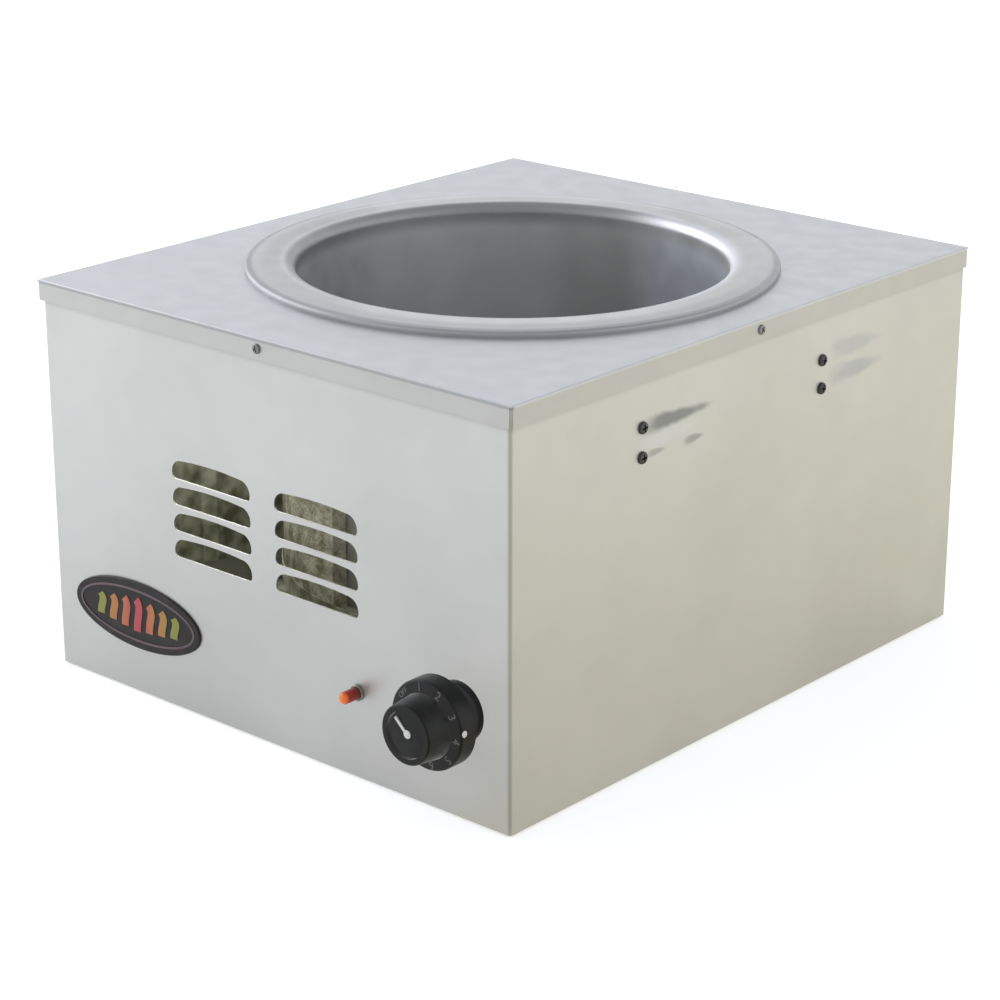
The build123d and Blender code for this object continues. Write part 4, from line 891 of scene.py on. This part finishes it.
def make_screws(finishes):
    """Skirt, side and back screws with their recesses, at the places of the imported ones."""
    low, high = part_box("skirt_screws")
    deck_low, deck_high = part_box("deck")
    level = (low.z + high.z) / 2
    faces = [
        ((0, deck_low.y, level), (0, -1, 0)),
        ((0, deck_high.y, level), (0, 1, 0)),
        ((deck_low.x, 0, level), (-1, 0, 0)),
        ((deck_high.x, 0, level), (1, 0, 0)),
    ]
    sites = [(at, out, spin) for (at, out), spin in zip(faces, SKIRT_SPINS)]
    screw = make_screw(SKIRT_SCREW_HEAD, deck_low.y - low.y, SKIRT_SHANK, SCREW_REACH)
    screws = copies_at(screw, sites)
    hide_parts("skirt_screws")
    finish_piece(screws, "skirt_screw_heads", "housing", finishes["screw_steel"])

    low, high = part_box("side_screws")
    head = SIDE_SCREW_HEAD
    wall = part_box("shell")[1].x
    sites = []
    for side in (-1, 1):
        for along in (low.y + head, high.y - head):
            for up in (low.z + head, high.z - head):
                spin = SIDE_SPIN + SIDE_SPIN_ALONG * along + SIDE_SPIN_UP * up * side
                sites.append(((side * wall, along, up), (side, 0, 0), spin))
    screws = copies_at(make_screw(head, high.x - wall, SIDE_SHANK, SCREW_REACH), sites)
    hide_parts("side_screws")
    finish_piece(screws, "side_screw_heads", "housing", finishes["dark_screw"])

    low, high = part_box("panel_screws")
    head = PANEL_SCREW_HEAD
    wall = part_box("back_panel")[1].y
    sites = []
    for side in (-1, 1):
        for row in range(3):
            up = low.z + head + row * (high.z - low.z - 2 * head) / 2
            spin = PANEL_SPIN + PANEL_SPIN_STEP * row * side
            sites.append(((side * (high.x - head), wall, up), (0, 1, 0), spin))
    screws = copies_at(make_screw(head, high.y - wall, PANEL_SHANK, SCREW_REACH), sites)
    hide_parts("panel_screws")
    finish_piece(screws, "panel_screw_heads", "housing", finishes["screw_steel"])


def make_corner_seams(finishes):
    """Slim welded bead in each open corner of the lid's skirt."""
    low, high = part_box("deck")
    height = high.z - low.z - SEAM_DROP
    bpy.ops.mesh.primitive_cylinder_add(vertices=24, radius=SEAM_R, depth=height, location=(0, 0, 0))
    bead = bpy.context.object
    start_edit()
    bpy.ops.mesh.bevel(offset=SEAM_ROUND, segments=2)
    end_edit()
    smooth_by_angle(bead, 60)
    middle = low.z + height / 2
    sites = []
    for x in (low.x + SEAM_IN, high.x - SEAM_IN):
        for y in (low.y + SEAM_IN, high.y - SEAM_IN):
            sites.append(((x, y, middle), (0, 0, 1), 0))
    finish_piece(copies_at(bead, sites), "lid_corner_seams", "housing", finishes["deck_steel"])


def make_dial_print(finishes):
    """Numbers 1 to 8 and OFF on the knob's dial, the white dot on its edge, and a painted glint spot.
    """
    low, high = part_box("knob")
    centre = (low + high) / 2
    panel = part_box("shell")[0].y
    marks = [(str(step + 1), FIRST_NUMBER - NUMBER_STEP * step, NUMBER_SIZE) for step in range(8)]
    marks.append(("OFF", OFF_ANGLE, OFF_SIZE))
    made = []
    for text, degrees, size in marks:
        bpy.ops.object.text_add()
        words = bpy.context.object
        words.data.body = text
        words.data.size = size
        words.data.align_x = "CENTER"
        words.data.align_y = "CENTER"
        words.data.extrude = INK
        only(words)
        bpy.ops.object.convert(target="MESH")
        angle = math.radians(degrees)
        out = Vector((math.cos(angle), 0, math.sin(angle)))
        across = Vector((math.sin(angle), 0, -math.cos(angle)))
        tilt = math.radians(DIAL_TILT)
        facing = Vector((0, -1, 0))
        normal = facing * math.cos(tilt) + out * math.sin(tilt)
        up = out * math.cos(tilt) - facing * math.sin(tilt)
        turn = Matrix((across, up, normal)).transposed().to_4x4()
        place = Vector((centre.x, panel - DIAL_FACE, centre.z)) + out * NUMBER_RADIUS
        words.matrix_world = Matrix.Translation(place) @ turn
        fix_place(words)
        made.append(words)
    dot = turned_piece([(DOT_RADIUS, -INK), (DOT_RADIUS, INK)], 24)
    angle = math.radians(DOT_ANGLE)
    out = Vector((math.cos(angle), 0, math.sin(angle)))
    dot.rotation_mode = "QUATERNION"
    dot.rotation_quaternion = out.to_track_quat("Z", "Y")
    dot.location = Vector((centre.x, panel - DOT_DEPTH, centre.z)) + out * (high.x - low.x) / 2
    fix_place(dot)
    finish_piece(dot, "dial_dot", "knob", finishes["white_plastic"])

    # White spot at the pointer's inner end: a painted highlight for the glint there
    bar_low, bar_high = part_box("knob_pointer")
    tall = bar_high.y - bar_low.y
    top = (SPOT_TOP_R * SPOT_R, SPOT_TOP_H * tall)
    spot = turned_piece([(SPOT_R, -INK), (SPOT_R, SPOT_SIDE_H * tall), top], 24)
    spot.rotation_euler = (math.radians(90), 0, 0)
    spot.location = (centre.x, bar_high.y, centre.z)
    fix_place(spot)
    smooth_by_angle(spot)
    finish_piece(spot, "pointer_glint_spot", "knob", finishes["white_plastic"])
    finish_piece(joined(made), "dial_numbers", "knob", finishes["dial_ink"])


def make_plate_print(finishes):
    """Thin border and an even row of plain heat waves on the name plate, tallest in the middle."""
    low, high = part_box("name_plate")
    centre = (low + high) / 2
    half_w = (high.x - low.x) / 2 - BORDER_INSET
    half_h = (high.z - low.z) / 2 - BORDER_INSET
    bpy.ops.mesh.primitive_circle_add(vertices=160, radius=1, location=(0, 0, 0))
    border = bpy.context.object
    start_edit()
    bpy.ops.transform.resize(value=(half_w, half_h, 1), center_override=(0, 0, 0))
    bpy.ops.mesh.extrude_region_move()
    inner = (1 - BORDER_W / half_w, 1 - BORDER_W / half_h, 1)
    bpy.ops.transform.resize(value=inner, center_override=(0, 0, 0))
    bpy.ops.mesh.select_all(action="SELECT")
    bpy.ops.mesh.extrude_region_move(TRANSFORM_OT_translate={"value": (0, 0, 2 * INK)})
    end_edit()
    border.rotation_euler = (math.radians(90), 0, 0)
    border.location = (centre.x, low.y + INK, centre.z)
    fix_place(border)
    finish_piece(border, "plate_border", "housing", finishes["plate_border"])

    waves = []
    for place in range(WAVES):
        bpy.ops.curve.primitive_bezier_curve_add(radius=1, location=(0, 0, 0))
        wave = bpy.context.object
        wave.data.bevel_depth = WAVE_THICK
        wave.data.use_fill_caps = True
        only(wave)
        bpy.ops.object.convert(target="MESH")
        wave = bpy.context.object
        offset = place - (WAVES - 1) / 2
        height = WAVE_H - WAVE_FALL * abs(offset)
        wave.scale = (height / 2, WAVE_H / 2, PRINT_PROUD / WAVE_THICK)
        wave.rotation_euler = (math.radians(90), math.radians(90), 0)
        wave.location = (centre.x + offset * WAVE_STEP, low.y, centre.z)
        fix_place(wave)
        waves.append(wave)
    waves = joined(waves)
    smooth_by_angle(waves, 60)
    finish_piece(waves, "plate_heat_waves", "housing", finishes["heat_print"])


def make_blanket():
    """Fibre blanket: a rounded section spun round the well from one side of its slot to the other."""
    low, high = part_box("blanket")
    outer = high.x
    thick = BLANKET_THICK
    bpy.ops.mesh.primitive_plane_add(size=1, location=(0, 0, 0))
    blanket = bpy.context.object
    start_edit()
    bpy.ops.transform.resize(value=(thick, high.z - low.z, 1))
    bpy.ops.mesh.bevel(offset=BLANKET_ROUND, segments=3, affect="VERTICES")
    bpy.ops.mesh.subdivide(number_cuts=5)
    bpy.ops.transform.rotate(value=math.radians(90), orient_axis="X", center_override=(0, 0, 0))
    bpy.ops.transform.translate(value=(outer - thick / 2, 0, (low.z + high.z) / 2))
    half_gap = math.asin(BLANKET_SLOT / 2 / (outer - thick))
    turn = math.radians(SLOT_AZIMUTH) + half_gap
    bpy.ops.transform.rotate(value=-turn, orient_axis="Z", center_override=(0, 0, 0))
    bpy.ops.mesh.spin(steps=120, angle=2 * (math.pi - half_gap), center=(0, 0, 0), axis=(0, 0, 1))
    end_edit()
    return blanket


def make_pad(finishes):
    """Fibre pad under the heater, softened at its edge."""
    low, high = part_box("heater_pad")
    depth = high.z - low.z
    bpy.ops.mesh.primitive_cylinder_add(vertices=96, radius=high.x, depth=depth, location=(0, 0, 0))
    pad = bpy.context.object
    pad.location = (0, 0, low.z + depth / 2)
    fix_place(pad)
    start_edit()
    bpy.ops.mesh.bevel(offset=PAD_ROUND, segments=3)
    end_edit()
    smooth_by_angle(pad, 60)
    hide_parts("heater_pad")
    finish_piece(pad, "heater_pad_fibre", "housing", finishes["fibre"])


def make_fibre(finishes):
    """Blanket and pad as soft pieces."""
    blanket = make_blanket()
    texture = bpy.data.textures.new("Tufts", "CLOUDS")
    texture.noise_scale = TUFT_SIZE
    only(blanket)
    bpy.ops.object.modifier_add(type="DISPLACE")
    rough = blanket.modifiers[-1]
    rough.texture = texture
    rough.strength = TUFT_DEPTH
    rough.mid_level = TUFT_LEVEL
    bpy.ops.object.modifier_apply(modifier=rough.name)
    smooth_by_angle(blanket, 60)
    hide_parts("blanket")
    finish_piece(blanket, "blanket_fibre", "housing", finishes["fibre"])
    make_pad(finishes)


# Stage


def camera_side():
    """Level direction from the object to the camera."""
    turn = math.radians(CAMERA_TURN)
    return (math.sin(turn), -math.cos(turn), 0)


def dimmed(tree, direction, colour):
    """Colour darkened on the side of the room where the camera stands."""
    facing = add(tree, "VectorMath", {"operation": "DOT_PRODUCT"}, {0: direction, 1: camera_side()})
    amount = spread(tree, facing.outputs["Value"], *DIM_REACH)
    return mixed(tree, amount, colour, DIM_SIDE, "MULTIPLY")


def make_floor():
    """Pale floor that shows white to the camera and still takes the shadow.

    The steel sees it dimmer close by, warm on the right, and dim where the camera stands."""
    bpy.ops.mesh.primitive_plane_add(size=FLOOR_SIZE, location=(0, 0, 0))
    floor = bpy.context.object
    floor.name = "floor"
    material = bpy.data.materials.new("Floor paper")
    material.use_nodes = True
    tree = material.node_tree
    tree.nodes.remove(tree.nodes["Principled BSDF"])
    camera = add(tree, "LightPath").outputs["Is Camera Ray"]
    place = add(tree, "TexCoord").outputs["Object"]
    far = add(tree, "VectorMath", {"operation": "LENGTH"}, {0: place}).outputs["Value"]
    corner = (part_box("shell")[1].x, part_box("shell")[0].y, 0)
    beyond = add(tree, "VectorMath", {"operation": "SUBTRACT"}, {0: place, 1: corner}).outputs["Vector"]
    direction = add(tree, "VectorMath", {"operation": "NORMALIZE"}, {0: beyond}).outputs["Vector"]
    to_right = add(tree, "SeparateXYZ", None, {0: beyond}).outputs["X"]
    warmth = mixed(tree, spread(tree, to_right, *WARM_REACH), WHITE, WARM_SIDE)
    warmth = mixed(tree, spread(tree, to_right, *PALE_REACH, 0.0, PALE_SHARE), warmth, PALE_SIDE)
    glow = mixed(tree, spread(tree, far, *FLOOR_REACH), FLOOR_NEAR, FLOOR_FAR)
    glow = dimmed(tree, direction, mixed(tree, 1.0, glow, warmth, "MULTIPLY"))
    paper = dimmed(tree, direction, mixed(tree, 1.0, FLOOR_PAPER, warmth, "MULTIPLY"))
    dull = add(tree, "BsdfDiffuse", None, {"Color": mixed(tree, camera, paper, FLOOR_PAPER)})
    light = add(tree, "Emission", None, {"Color": mixed(tree, camera, glow, FLOOR_WHITE)})
    both = add(tree, "AddShader", None, {0: dull.outputs[0], 1: light.outputs[0]})
    feed(tree, tree.nodes["Material Output"].inputs["Surface"], both.outputs[0])
    floor.data.materials.append(material)


def make_world():
    """Room that the camera sees white, and the steel bright and cool low down, dim overhead and
    behind the camera."""
    world = bpy.data.worlds.new("White room")
    world.use_nodes = True
    bpy.context.scene.world = world
    tree = world.node_tree
    camera = add(tree, "LightPath").outputs["Is Camera Ray"]
    direction = add(tree, "TexCoord").outputs["Generated"]
    height = add(tree, "SeparateXYZ", None, {0: direction}).outputs["Z"]
    room = mixed(tree, spread(tree, height, *ROOM_RISE), ROOM_SIDE, ROOM_TOP)
    room = dimmed(tree, direction, room)
    feed(tree, tree.nodes["Background"].inputs["Color"], mixed(tree, camera, room, WHITE))


def add_light(name, place, aim, size, power, colour):
    """Softbox at a place, turned to a point."""
    turn = (Vector(place) - Vector(aim)).to_track_quat("Z", "Y").to_euler()
    bpy.ops.object.light_add(type="AREA", location=place, rotation=turn)
    light = bpy.context.object
    light.name = name
    light.data.shape = "RECTANGLE"
    light.data.size, light.data.size_y = size
    light.data.energy = power
    light.data.color = colour


def make_lights():
    """Cool window at the left, and weak fills under the lid, so that the vents aren't black."""
    window = (WINDOW_SIDE, WINDOW_SIDE)
    add_light("window_left", WINDOW_PLACE, WINDOW_AIM, window, WINDOW_POWER, WINDOW_COLOUR)
    low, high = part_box("shell")
    level = high.z - FILL_DROP
    front = (FRONT_FILL_X, low.y + FRONT_FILL_IN, level)
    front_aim = (front[0], front[1] + FRONT_FILL_TILT, 0)
    add_light("fill_front", front, front_aim, FRONT_FILL_SIZE, FRONT_FILL_POWER, FILL_COLOUR)
    left = (low.x + LEFT_FILL_IN, LEFT_FILL_Y, level)
    left_aim = (left[0], left[1], 0)
    add_light("fill_left", left, left_aim, LEFT_FILL_SIZE, LEFT_FILL_POWER, FILL_COLOUR)


bpy.context.scene.view_settings.view_transform = "Standard"
for leftover in list(bpy.data.objects):
    bpy.data.objects.remove(leftover)
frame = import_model()
bpy.ops.object.select_all(action="DESELECT")
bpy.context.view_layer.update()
set_camera()
make_world()
make_floor()
make_lights()
finishes = make_finishes()
dress_nodes(frame["nodes"], finishes)
make_well(finishes)
make_screws(finishes)
make_corner_seams(finishes)
make_dial_print(finishes)
make_plate_print(finishes)
make_fibre(finishes)
